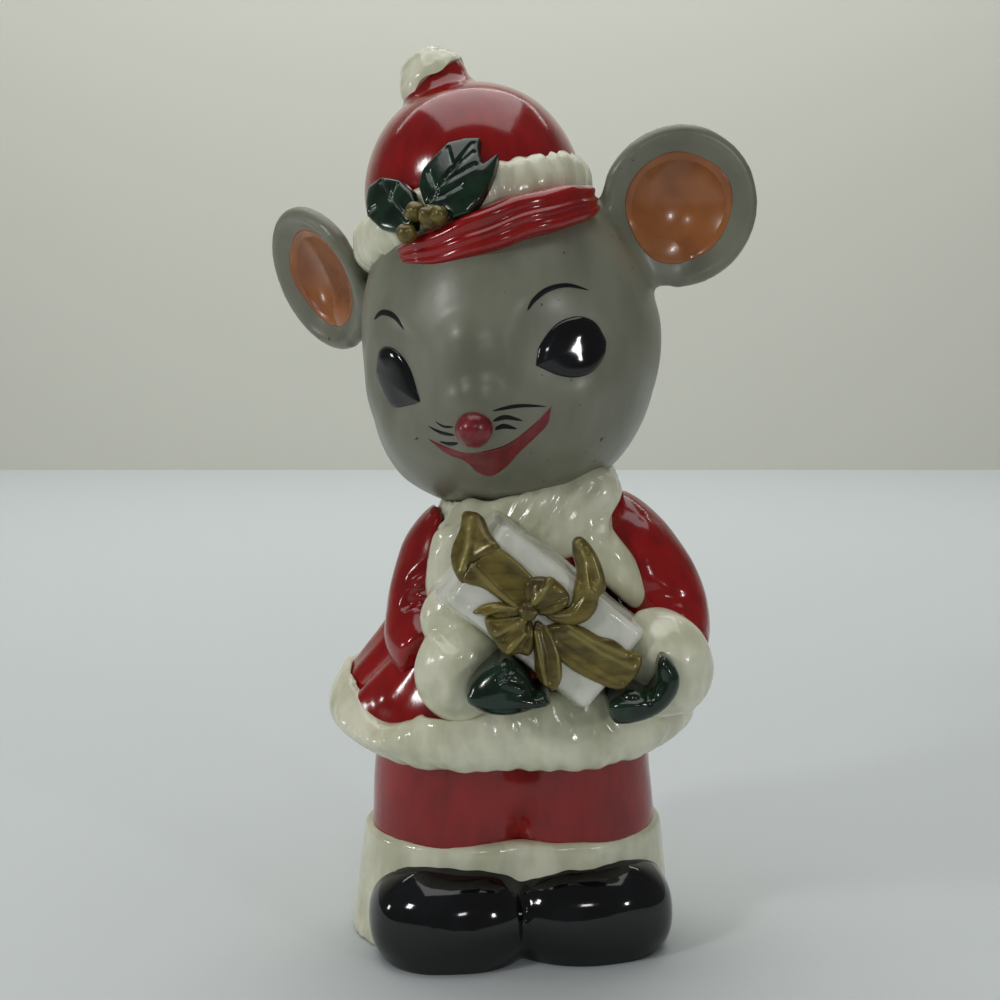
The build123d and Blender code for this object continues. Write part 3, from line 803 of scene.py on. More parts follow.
def buildLinings(skin):
    # Orange paint in the hollow of each ear, laid on its skin
    p = liningShape
    for name, ear in ears.items():
        place = earPlace(ear)
        inward = place.to_3x3() @ Vector((0, 0, -1))
        profile = [(p["radius"] * step / p["rings"], 0) for step in range(p["rings"] + 1)]
        disc = spunProfile(profile, p["around"])
        for vert in disc.verts:
            # A painted edge is never quite round
            angle = math.atan2(vert.co.y, vert.co.x)
            out = math.hypot(vert.co.x, vert.co.y) / p["radius"]
            three, five = p["uneven"]
            grow = 1 + three * math.sin(3 * angle + ear["side"]) + five * math.sin(5 * angle)
            spot = place @ Vector((vert.co.x * grow, vert.co.y * grow, 0))
            hit = skin.ray_cast(spot - inward * p["castFrom"], inward)[0] or spot
            vert.co = hit - inward * (p["thick"] * math.sqrt(max(0.0, 1 - out ** 8)) + paintClearance)
        closePatch(disc, inward, p["sink"])
        node = name + "_ear_lining"
        keepPiece(node + "_glazed", disc, "orange", [node], headPlace)


noseShape = {"reach": 24.0, "shift": (-0.75, 0, 0.15), "halves": (2.42, 2.3, 2.38), "waves": (2.2, 0.14)}


def buildFace(skin, toNose):
    for name, outline in eyeOutline.items():
        eye = skinPatch(skin, outline["lower"], outline["upper"], "eye")
        keepPiece(name + "_eye_glazed", eye, "black", [name + "_eye"], headPlace)
    mouth = skinPatch(skin, mouthOutline["lower"], mouthOutline["upper"], "mouth")
    keepPiece("mouth_paint", mouth, "mouthRed", (), headPlace)
    for name, (points, half) in paintStrokes.items():
        line = skinPatch(skin, *brushLine(points, half), "line")
        keepPiece(name + "_paint", line, "linePaint", (), headPlace)
    nose = bmesh.new()
    spot = toNose * noseShape["reach"] + Vector(noseShape["shift"])
    addBall(nose, Matrix.Translation(spot), noseShape["halves"], 40, 56)
    ripple(nose, *noseShape["waves"])
    keepPiece("nose_glazed", nose, "noseRed", ["nose"], headPlace)


headSkin, toNose = buildHead()
buildLinings(headSkin)
buildFace(headSkin, toNose)
print("head, ears and face done")

# Cap
capShape = {"shift": -1.2, "rise": 23.5, "tilt": -8.5, "radius": 15.3, "bottom": -5.0, "lowestAngle": -20.0,
            "knobRadius": 4.9, "knobReach": 16.2, "knobLean": -23.5, "knobInset": 0.15,
            "knobStart": -6.0,
            "seamGap": 3.5, "seamSoft": 1.7, "waves": (8.0, 0.14, 3.0)}
pompomShape = {"proud": 0.28, "cut": -0.3, "tufts": 22, "goldenTurn": 2.399, "goldenShare": 0.618,
               "tuftFoot": 0.2, "tuftRange": 0.75, "tuftTurn": 0.25, "tuftRise": 0.3,
               "tuftRadius": 1.1, "tuftLift": -0.2, "edgeFade": 3.0,
               "edgeWaves": [(0.4, 3, 1.0), (0.22, 7, 0.0)]}
bandShape = {"drop": 2.7, "radius": 15.2, "half": 2.4, "tall": 3.4, "shift": -1.2, "waves": (3.0, 0.35, 5.0),
             "tufts": 34, "tuftStray": 0.25, "tuftSlant": (0.0, 0.16), "tuftTall": 1.9, "tuftBend": 1.6,
             "tuftRadius": (0.9, 1.3), "tuftLift": (-0.28, -0.5)}
brimShape = {"turn": 23.0, "shift": 2.6, "span": 112.0, "steps": 120, "top": -5.8, "leftEnd": 0.45,
             "rightEnd": 0.72, "middle": 0.1, "edgeRound": 0.45, "endDraw": 1.0,
             "waves": [(0.16, 5, 0.6), (0.08, 13, 0.0)],
             "wander": {"height": 0.25, "along": 3.0, "upright": 0.5, "seed": 4.0}}
brimProfile = [(12.3, -4.7), (15.0, -4.9), (16.9, -5.4), (17.7, -6.0), (18.0, -6.8), (17.55, -7.6),
               (17.6, -8.0), (18.0, -8.6), (17.6, -9.2), (17.65, -9.6), (17.9, -10.1), (17.4, -10.8),
               (16.4, -11.1), (14.6, -11.0), (12.3, -10.4)]


def capPlace(turn):
    # The head's own frame, turned about the middle of the cap
    return headPlace @ moved(capShape["shift"], 0, 0) @ turned(turn, "Z")


def capAxis(turn=0.0, height=0.0):
    # The cap leans further than the head; heights are from the middle of its ball
    return (headPlace @ moved(capShape["shift"], 0, capShape["rise"]) @ turned(capShape["tilt"], "Y")
            @ moved(0, 0, height) @ turned(turn, "Z"))


def buildCrown():
    c = capShape
    reach = c["knobReach"]
    knob = c["knobRadius"] - c["knobInset"]
    meet = math.degrees(math.acos((c["radius"] ** 2 + reach ** 2 - c["knobRadius"] ** 2)
                                  / (2 * c["radius"] * reach)))
    sweep = 90 - c["lowestAngle"] - meet - c["seamGap"]
    domeSteps, knobSteps = 60, 24
    profile = [(0, c["bottom"])]
    for step in range(domeSteps + 1):
        # The dome stops a little before it meets the knob, so that the crease between them is soft
        angle = math.radians(c["lowestAngle"] + sweep * step / domeSteps)
        profile.append((c["radius"] * math.cos(angle), c["radius"] * math.sin(angle)))
    neckHeight = profile[-1][1]
    for step in range(knobSteps + 1):
        angle = math.radians(c["knobStart"] + (90 - c["knobStart"]) * step / knobSteps)
        profile.append((knob * math.cos(angle), reach + knob * math.sin(angle)))
    profile[-1] = (0, reach + knob)
    crown = spunProfile(profile, 160)
    smoothed(crown, [vert for vert in crown.verts if abs(vert.co.z - neckHeight) < c["seamSoft"]], 4)
    bmesh.ops.transform(crown, matrix=capAxis(), verts=crown.verts)
    ripple(crown, *c["waves"])
    keepPiece("cap_crown_glazed", crown, "red", ["cap_crown"])


def buildPompom():
    p = pompomShape
    radius = capShape["knobRadius"] + p["proud"]
    ball = bmesh.new()
    addBall(ball, Matrix.Identity(4), [radius] * 3, 64, 96)
    cutHalf(ball, (0, 0, p["cut"]), (0, 0, -1))
    for vert in ball.verts:
        # The white ends in an uneven edge
        angle = math.atan2(vert.co.y, vert.co.x)
        low = max(0.0, 1 - (vert.co.z - p["cut"]) / p["edgeFade"])
        vert.co.z += waved(p["edgeWaves"], angle) * low
    tree = treeOf(ball)
    for index in range(p["tufts"]):
        angle = index * p["goldenTurn"]
        high = p["tuftFoot"] + p["tuftRange"] * ((index * p["goldenShare"]) % 1)
        ends = []
        for around, up in ((angle, high), (angle + p["tuftTurn"], high + p["tuftRise"])):
            flat = math.cos(up)
            ends.append(Vector((math.cos(around) * flat, math.sin(around) * flat, math.sin(up))) * radius)
        stroke(ball, tree, ends, p["tuftRadius"], p["tuftLift"])
    place = capAxis(0, capShape["knobReach"]) @ turned(capShape["knobLean"], "Y")
    keepPiece("pompom_glazed", ball, "white", ["pompom"], place)


def buildBand():
    b = bandShape
    roundSteps, tuftSteps = 32, 4
    profile = []
    for step in range(roundSteps + 1):
        angle = 2 * math.pi * step / roundSteps
        profile.append((b["radius"] + b["half"] * math.cos(angle), b["tall"] * math.sin(angle)))
    band = spunProfile(profile, 260)
    tree = treeOf(band)
    for index in range(b["tufts"]):
        angle = 2 * math.pi * (index + random.uniform(-b["tuftStray"], b["tuftStray"])) / b["tufts"]
        slant = drawn(b["tuftSlant"])
        path = []
        for step in range(tuftSteps + 1):
            share = step / tuftSteps - 0.5
            around = angle + slant * share
            out = b["radius"] + b["half"] - b["tuftBend"] * abs(share * 2) ** 2.2
            up = share * b["tall"] * b["tuftTall"]
            path.append(Vector((math.cos(around) * out, math.sin(around) * out, up)))
        radius = drawn(b["tuftRadius"])
        stroke(band, tree, path, radius, drawn(b["tuftLift"]))
    ripple(band, *b["waves"])
    smoothed(band, band.verts, 1)
    bmesh.ops.translate(band, vec=(b["shift"], 0, 0), verts=band.verts)
    keepPiece("cap_band_glazed", band, "white", ["cap_band"], capAxis(0, -b["drop"]))


def buildBrim():
    b = brimShape
    w = b["wander"]
    span = math.radians(b["span"])
    brim = spunProfile(brimProfile + brimProfile[:1], b["steps"], span, -math.pi / 2 - span / 2)
    ends = [edge for edge in brim.edges if edge.is_boundary]
    bmesh.ops.holes_fill(brim, edges=ends, sides=0)
    bmesh.ops.recalc_face_normals(brim, faces=brim.faces)
    bmesh.ops.bevel(brim, geom=ends, offset=b["edgeRound"], offset_type="OFFSET", affect="EDGES", segments=3,
                    profile=0.5, material=-1)
    bmesh.ops.subdivide_edges(brim, edges=brim.edges, cuts=1, smooth=0.0, use_grid_fill=True)
    smoothed(brim, brim.verts, 2)
    for vert in brim.verts:
        # The visor droops in the middle and thins towards its ends, and its grooves wander
        angle = math.atan2(vert.co.x, -vert.co.y) / (span / 2)
        aside = angle - b["middle"]
        end = b["rightEnd"] if aside > 0 else b["leftEnd"]
        keep = 1 - (1 - end) * min(1.0, abs(aside) / (1 - math.copysign(b["middle"], aside))) ** 2.4
        if vert.co.z < b["top"]:
            vert.co.z = b["top"] + (vert.co.z - b["top"]) * keep
        vert.co.z += waved(b["waves"], angle)
        outward = Vector((vert.co.x, vert.co.y, 0)).normalized()
        grain = Vector((angle * w["along"], vert.co.z * w["upright"], w["seed"]))
        vert.co += outward * (w["height"] * noise.noise(grain) - b["endDraw"] * abs(angle) ** 4)
    place = capAxis(b["turn"]) @ moved(0, -b["shift"], 0)
    keepPiece("cap_brim_glazed", brim, "red", ["cap_brim"], place)


buildCrown()
buildPompom()
buildBand()
buildBrim()
print("cap done")

# Holly on the cap; outlines and veins are pixels of the photograph, each leaf lies in its own plane
leaves = {
    "large": {
        "turn": 5.0, "slope": 27.0, "rise": 24.0, "reach": 17.6, "bend": 30.0,
        "outline": [(478.6, 133.8), (477.4, 145.2), (480.9, 162.8), (496.2, 149.1), (492.0, 170.1),
                    (485.3, 185.6), (478.3, 197.8), (466.0, 211.0), (452.0, 215.4), (442.3, 208.0),
                    (427.4, 209.2), (422.2, 198.7), (417.6, 183.8), (422.2, 168.0), (436.2, 152.2),
                    (446.7, 140.0), (464.3, 134.7)],
        "veins": [[(428, 204), (450, 175), (472, 142)],
                  [(447, 148), (451, 163)],
                  [(473, 152), (452, 172)],
                  [(475, 165), (444, 184)],
                  [(432, 200), (445, 196), (461, 186)],
                  [(430, 173), (436, 190)]]},
    "small": {
        "turn": -27.0, "slope": 20.0, "rise": 22.6, "reach": 18.4, "bend": 22.0,
        "outline": [(365.7, 185.6), (380.1, 175.9), (395.9, 178.6), (406.4, 189.1), (410.8, 202.2),
                    (406.0, 225.9), (395.0, 232.6), (380.1, 229.4), (366.9, 216.3), (364.6, 201.4)],
        "veins": [[(380, 181), (392, 200), (404, 218)],
                  [(396, 184), (392, 198)],
                  [(370, 212), (377, 208)]]},
}
berries = [((415.2, 211.8), 1.35), ((428.8, 216.5), 1.45), ((438.6, 215.2), 1.3), ((406.4, 233.5), 1.3)]
leafSlab = {"depth": 1.5, "swell": 0.35, "edge": 1.2, "voxel": 0.17, "rounds": 3}
veinShape = {"radius": 0.55, "lift": -0.22, "paleReach": 0.34, "paleSteps": 24}
berryShape = {"turn": -8.0, "forward": 20.4, "rise": 19.0, "slope": 70.0, "waves": (1.1, 0.24)}


def buildLeaf(name, leaf):
    leaning = moved(0, -leaf["reach"], leaf["rise"]) @ turned(90 - leaf["slope"], "X")
    place = capPlace(leaf["turn"]) @ leaning
    spots = [onPlane(pixel, place) for pixel in leaf["outline"]]
    outline = [Vector((spot.x, spot.y, 0)) for spot in spots]

    def bend(x, y):
        return -(x * x + y * y) / (2 * leaf["bend"])

    clay = relief(outline, place, **leafSlab, lean=bend)
    tree = treeOf(clay)
    vein = clay.verts.layers.float.new("vein")
    outward = place.to_3x3() @ Vector((0, 0, 1))
    for path in leaf["veins"]:
        row = []
        for pixel in path:
            flat = onPlane(pixel, place)
            row.append(place @ Vector((flat.x, flat.y, leafSlab["swell"] + bend(flat.x, flat.y))))
        stroke(clay, tree, row, veinShape["radius"], veinShape["lift"])
        tint(clay, tree, vein, row, veinShape["paleReach"], veinShape["paleSteps"], outward=outward)
    keepPiece(name + "_holly_leaf_glazed", clay, "green", [name + "_holly_leaf"])


def buildBerries():
    # Berries sit where their pixels meet a plane just in front of the band
    b = berryShape
    place = capPlace(b["turn"]) @ moved(0, -b["forward"], b["rise"]) @ turned(b["slope"], "X")
    for index, (pixel, radius) in enumerate(berries):
        berry = bmesh.new()
        addBall(berry, Matrix.Translation(place @ onPlane(pixel, place)), [radius] * 3, 28, 36)
        ripple(berry, *b["waves"], index * 2.0)
        node = f"holly_berry_{index + 1}"
        keepPiece(node + "_glazed", berry, "gold", [node])


for leafName, leaf in leaves.items():
    buildLeaf(leafName, leaf)
buildBerries()
print("holly done")

# Coat, sleeves and the white fur
clayPieces = {  # node: voxel, rounds of smoothing, waviness size and height
    "trousers": (0.5, 10, 7.0, 0.2),
    "ankle_trim": (0.5, 8, 6.0, 0.25),
    "coat_body": (0.5, 8, 9.0, 0.35),
    "coat_hem": (0.45, 12, 6.0, 0.35),
    "fur_collar": (0.4, 14, 5.0, 0.3),
    "left_sleeve": (0.35, 12, 5.0, 0.25),
    "right_sleeve": (0.35, 12, 5.0, 0.25),
    "left_cuff": (0.35, 12, 4.5, 0.4),
    "right_cuff": (0.35, 12, 4.5, 0.4),
}


fillings = {  # lumps that soften a crease or fill out the fur: place, half sizes and lean
    "trousers": [((0, 0, 23.4), (10.0, 11.9, 11.0), 0)],
    "ankle_trim": [((0, 0.3, 8.4), (11.0, 12.9, 7.6), 0)],
    "fur_collar": [((3.0, -9.4, 61.6), (11.0, 4.2, 5.6), 0), ((9.0, -8.6, 65.0), (5.6, 4.6, 4.4), 0),
                   ((-8.6, -9.6, 57.6), (3.9, 3.6, 9.6), 14), ((12.6, -10.8, 56.4), (2.9, 3.6, 9.0), -36)],
    "right_cuff": [((-9.3, -14.5, 49.6), (4.4, 3.4, 4.2), 0)],
}


def clayOf(node):
    voxel, rounds, size, height = clayPieces[node]
    clay = nodeClay(node)
    for spot, halves, lean in fillings.get(node, []):
        addBall(clay, moved(*spot) @ turned(lean, "Y"), halves, 32, 48)
    clay = remeshed(clay, voxel, rounds)
    ripple(clay, size, height, len(node))
    clay.normal_update()
    return clay


def roundFigure(skin, angle, height):
    # Where the outside of a skin lies at an angle from the front and a height
    aim = Vector((math.sin(angle), -math.cos(angle), 0))
    level = Vector((0, 0, height))
    hit = skin.ray_cast(aim * farOff + level, -aim)[0]
    return hit or aim * 20 + level


combStray = 0.3  # how far a stroke may stray from its even place, as a share of the step between them
combs = {  # strokes all round a piece; a pair is drawn at random between its two numbers
    "coat_hem": {"count": 40, "spots": 6, "low": 28.8, "rise": 2.2, "slant": (-0.16, -0.30), "pivot": 0.5,
                 "radius": (1.1, 1.8), "lift": (-0.25, -0.5)},
    "fur_collar": {"count": 26, "spots": 5, "low": 59.5, "rise": 1.8, "slant": 0.40, "pivot": 0.0,
                   "radius": (0.9, 1.5), "lift": (-0.2, -0.42)},
    "trousers": {"count": 18, "spots": 3, "low": 15.2, "rise": 0.8, "slant": 0.0, "pivot": 0.0,
                 "radius": 2.2, "lift": (-0.15, 0.3)},
    "ankle_trim": {"count": 22, "spots": 5, "low": 3.0, "rise": 2.4, "slant": 0.12, "pivot": 0.0,
                   "radius": 1.8, "lift": (-0.1, -0.4)},
}


def comb(node, clay, skin, tree):
    c = combs[node]
    for index in range(c["count"]):
        angle = 2 * math.pi * (index + random.uniform(-combStray, combStray)) / c["count"]
        slant = drawn(c["slant"])
        path = []
        for step in range(c["spots"]):
            aside = slant * (step / (c["spots"] - 1) - c["pivot"])
            path.append(roundFigure(skin, angle + aside, c["low"] + c["rise"] * step))
        radius = drawn(c["radius"])
        stroke(clay, tree, path, radius, drawn(c["lift"]))


hemShape = {"dipTurn": -56.0, "dipWidth": 19.0, "dipDepth": 5.0, "dipFoot": 31.0, "dipFade": 8.6,
            "taper": 0.13, "taperLevel": 34.5, "taperFade": 6.0,
            "knobs": 64, "knobLevel": (38.2, 39.8), "knobReach": (0.9, 1.6), "knobLift": (0.2, 0.6)}


def buildHem():
    h = hemShape
    hem = clayOf("coat_hem")
    for vert in hem.verts:
        # The fur is narrower at the front of the figure's right flank, and drawn in at its lower edge
        turn = math.degrees(math.atan2(vert.co.x, -vert.co.y))
        dip = math.exp(-((turn - h["dipTurn"]) / h["dipWidth"]) ** 2)
        vert.co.z -= h["dipDepth"] * dip * max(0.0, (vert.co.z - h["dipFoot"]) / h["dipFade"])
        vert.co.x *= 1 - h["taper"] * clamped((h["taperLevel"] - vert.co.z) / h["taperFade"]) ** 2
    skin = BVHTree.FromBMesh(hem)
    tree = treeOf(hem)
    comb("coat_hem", hem, skin, tree)
    for index in range(h["knobs"]):
        # Small knobs of fur along the upper edge
        angle = 2 * math.pi * index / h["knobs"]
        spot = roundFigure(skin, angle, drawn(h["knobLevel"]))
        reach = drawn(h["knobReach"])
        press(hem, tree, spot, reach, (0, 0, drawn(h["knobLift"])))
    smoothed(hem, hem.verts, 2)
    keepPiece("coat_hem_glazed", hem, "hemWhite", ["coat_hem"])


# Coat: angle from the front of each fold, and its lift
coatFolds = {-78: -0.9, -58: 0.5, -100: 0.45, 70: -0.7, 150: -0.6, 172: 0.5, 200: -0.7, 228: 0.5}
foldShape = {"spots": 6, "lean": 3.0, "low": 38.0, "rise": 3.2, "radius": 3.4}


def buildCoat():
    f = foldShape
    coat = clayOf("coat_body")
    skin = BVHTree.FromBMesh(coat)
    tree = treeOf(coat)
    for turn, lift in coatFolds.items():
        path = []
        for step in range(f["spots"]):
            path.append(roundFigure(skin, math.radians(turn + f["lean"] * step), f["low"] + f["rise"] * step))
        stroke(coat, tree, path, f["radius"], lift)
    smoothed(coat, coat.verts, 2)
    keepPiece("coat_body_glazed", coat, "red", ["coat_body"])


collarPresses = [  # spot, reach and move of each soft dent or swelling
    ((12.0, -8.0, 67.0), 8.0, (0.2, -0.4, 0.3)),
    ((14.5, -7.0, 61.0), 6.5, (-1.8, 1.2, 0.6)),
]
collarDrop = {"depth": 1.6, "side": 5.0, "sideFade": 9.0, "level": 60.5, "levelFade": 3.0}


def buildCollar():
    d = collarDrop
    collar = clayOf("fur_collar")
    tree = treeOf(collar)
    skin = BVHTree.FromBMesh(collar)
    for spot, reach, move in collarPresses:
        press(collar, tree, spot, reach, move)
    for vert in collar.verts:
        # Its upper edge lies lower under the figure's right cheek
        aside = clamped((d["side"] - vert.co.x) / d["sideFade"])
        vert.co.z -= d["depth"] * aside * clamped((vert.co.z - d["level"]) / d["levelFade"])
    comb("fur_collar", collar, skin, tree)
    smoothed(collar, collar.verts, 1)
    keepPiece("fur_collar_glazed", collar, "white", ["fur_collar"])


sleeveCreases = {  # pixels along each crease, with its radius and lift
    "right": [([(440, 585), (425, 590), (408, 600)], 1.5, -0.6),
              ([(432, 603), (418, 602), (404, 606)], 1.2, -0.5),
              ([(446, 560), (428, 568), (412, 580)], 1.4, -0.45),
              ([(436, 594), (420, 596)], 1.0, 0.4),
              ([(430, 575), (415, 584)], 1.2, 0.35)],
    "left": [([(692, 600), (672, 598), (655, 592)], 1.5, -0.3),
             ([(650, 530), (642, 550), (645, 575)], 2.8, 0.3)],
}


def buildSleeves():
    for side, creases in sleeveCreases.items():
        sleeve = clayOf(side + "_sleeve")
        mark(sleeve, creases)
        smoothed(sleeve, sleeve.verts, 1)
        keepPiece(side + "_sleeve_glazed", sleeve, "redSleeve", [side + "_sleeve"])


cuffShape = {"right": {"swell": 0.5, "dents": [((437, 628), (452, 645)), ((425, 700), (440, 690))]},
             "left": {"swell": 0.7, "dents": [((664, 625), (672, 640)), ((700, 668), (708, 690))]}}
cuffDent = {"radius": 1.8, "lift": -0.45}


def buildCuffs():
    for side, shape in cuffShape.items():
        cuff = clayOf(side + "_cuff")
        for vert in cuff.verts:
            vert.co += vert.normal * shape["swell"]
        mark(cuff, [(pixels, cuffDent["radius"], cuffDent["lift"]) for pixels in shape["dents"]])
        smoothed(cuff, cuff.verts, 2)
        keepPiece(side + "_cuff_glazed", cuff, "white", [side + "_cuff"])


legCrease = {"angle": -0.03, "low": 15.0, "rise": 3.0, "spots": 6, "radius": 2.2, "lift": -0.5}
trouserEdge = {"level": 14.5, "fade": 5.0, "waves": [(0.3, 5, 1.0), (0.2, 11, 0.0)]}
trimLap = {"rise": 1.1, "level": 11.0, "fade": 4.0}


def buildTrousers():
    c = legCrease
    edge = trouserEdge
    trousers = clayOf("trousers")
    skin = BVHTree.FromBMesh(trousers)
    tree = treeOf(trousers)
    comb("trousers", trousers, skin, tree)
    crease = [roundFigure(skin, c["angle"], c["low"] + c["rise"] * step) for step in range(c["spots"])]
    stroke(trousers, tree, crease, c["radius"], c["lift"])
    smoothed(trousers, trousers.verts, 2)
    for vert in trousers.verts:
        # Paint runs a little unevenly along the lower edge
        low = max(0.0, 1 - (vert.co.z - edge["level"]) / edge["fade"])
        turn = math.atan2(vert.co.x, -vert.co.y)
        vert.co.z += low * waved(edge["waves"], turn)
    keepPiece("trousers_glazed", trousers, "red", ["trousers"])


def buildTrim():
    trim = clayOf("ankle_trim")
    comb("ankle_trim", trim, BVHTree.FromBMesh(trim), treeOf(trim))
    for vert in trim.verts:
        # Its upper edge laps the trousers a little, and its foot stays flat
        rise = trimLap["rise"] * clamped((vert.co.z - trimLap["level"]) / trimLap["fade"])
        vert.co.z = max(vert.co.z + rise, 0.0)
    keepPiece("ankle_trim_glazed", trim, "white", ["ankle_trim"])


bootShape = {"left": {"centre": (9.9, -7.8, 5.2), "halves": (12.3, 10.0, 8.5), "square": 2.5, "toe": 3.0},
             "right": {"centre": (-9.4, -8.4, 5.3), "halves": (12.0, 10.9, 8.8), "square": 2.3, "toe": -4.0}}
bootLump = {"voxel": 0.4, "rounds": 12, "waves": (7.0, 0.3, 2.0), "sole": 0.02, "parting": 0.3}


def buildBoots():
    # Both toes are one soft lump, parted at the crease between them
    b = bootLump
    lump = bmesh.new()
    for shape in bootShape.values():
        boot = bmesh.new()
        addBall(boot, Matrix.Identity(4), (1, 1, 1), 96, 128)
        power = shape["square"]
        for vert in boot.verts:
            # A squarer round than an ellipse, as the toe caps have
            total = sum(abs(part) ** power for part in vert.co)
            vert.co *= total ** (-1 / power)
            vert.co = Vector([part * half for part, half in zip(vert.co, shape["halves"])])
        bmesh.ops.rotate(boot, verts=boot.verts, matrix=turned(shape["toe"], "Z"))
        bmesh.ops.translate(boot, verts=boot.verts, vec=shape["centre"])
        joinInto(lump, boot)
    lump = remeshed(lump, b["voxel"], b["rounds"])
    ripple(lump, *b["waves"])
    cutHalf(lump, (0, 0, b["sole"]), (0, 0, -1))
    for side, away in (("left", -1), ("right", 1)):
        boot = lump.copy()
        cutHalf(boot, (b["parting"], 0, 0), (away, 0, 0))
        keepPiece(side + "_boot_glazed", boot, "black", [side + "_boot"])
    lump.free()


buildTrousers()
buildTrim()
buildBoots()
buildCoat()
buildHem()
buildCollar()
buildSleeves()
buildCuffs()
print("clothes done")

# Gift, ribbon, bow and mittens; outlines are pixels of the photograph
giftPlace = moved(2.0, -24.2, 51.4) @ turned(84.0, "X") @ turned(-38.5, "Z")
giftShape = {"length": 23.2, "width": 12.4, "depth": 13.0, "draft": 7.0, "round": 0.9, "voxel": 0.35,
             "waves": (5.0, 0.3, 7.0)}
giftCreases = [  # pixels along each crease or rise of the wrapping, with its radius and lift
    ([(648, 628), (655, 655), (640, 690)], 1.0, -0.45),
    ([(519, 532), (545, 545), (575, 571)], 0.7, 0.3),
    ([(600, 560), (625, 590), (640, 612)], 1.4, -0.3),
    ([(452, 590), (470, 604)], 1.2, -0.4),
]
ribbonSlab = {"depth": 1.0, "swell": 0.35, "edge": 0.9, "voxel": 0.2, "rounds": 4}
foldSlab = {"depth": 1.4, "swell": 0.5, "edge": 1.4, "voxel": 0.22, "rounds": 5}
bowSlab = {"edge": 1.5, "voxel": 0.18, "rounds": 4}
bowSunk = 0.5  # how far each piece of the bow reaches into the ribbon
foldPlace = moved(-11.6, 0, 0.3) @ turned(-42, "Y")
ribbonStand = 0.35  # how far the ribbon's plane stands before the box
ribbonPieces = {  # outlines, and ridges, which get a painted highlight, or, with a negative lift, creases
    "lower": {
        "outline": [(544.5, 626.9), (565.2, 622.3), (583.5, 626.9), (599.6, 636.1), (615.7, 640.7),
                    (627.1, 649.9), (642.1, 656.3), (639.8, 670.6), (629.4, 684.3), (620.3, 690.8),
                    (599.6, 684.3), (576.6, 672.9), (560.6, 661.4), (539.9, 640.7)],
        "ridges": [([(566, 624), (590, 640), (625, 655)], 0.8, 0.3),
                   ([(560, 640), (590, 662), (622, 680)], 1.0, -0.25),
                   ([(570, 632), (600, 652), (633, 668)], 0.7, 0.2)]},
    "upper": {
        "outline": [(471.0, 565.4), (495.1, 548.0), (512.3, 558.1), (526.1, 571.8), (535.3, 583.3),
                    (535.3, 604.0), (519.2, 613.2), (498.6, 599.4), (482.5, 588.4), (461.8, 581.0)],
        "ridges": [([(472, 566), (495, 590), (519, 610)], 0.7, 0.35),
                   ([(494, 549), (513, 561), (530, 577)], 0.7, 0.35),
                   ([(471, 565), (495, 548)], 0.6, 0.3)]},
    "end": {
        "outline": [(461.8, 513.3), (469.9, 510.3), (480.2, 514.4), (487.1, 530.5), (496.3, 542.0),
                    (495.8, 548.9), (471.0, 564.9), (461.4, 582.2), (453.8, 573.0), (450.4, 560.4),
                    (451.7, 546.6), (459.5, 528.2)],
        "ridges": [([(470, 520), (468, 545), (462, 570)], 1.2, 0.3)]},
}
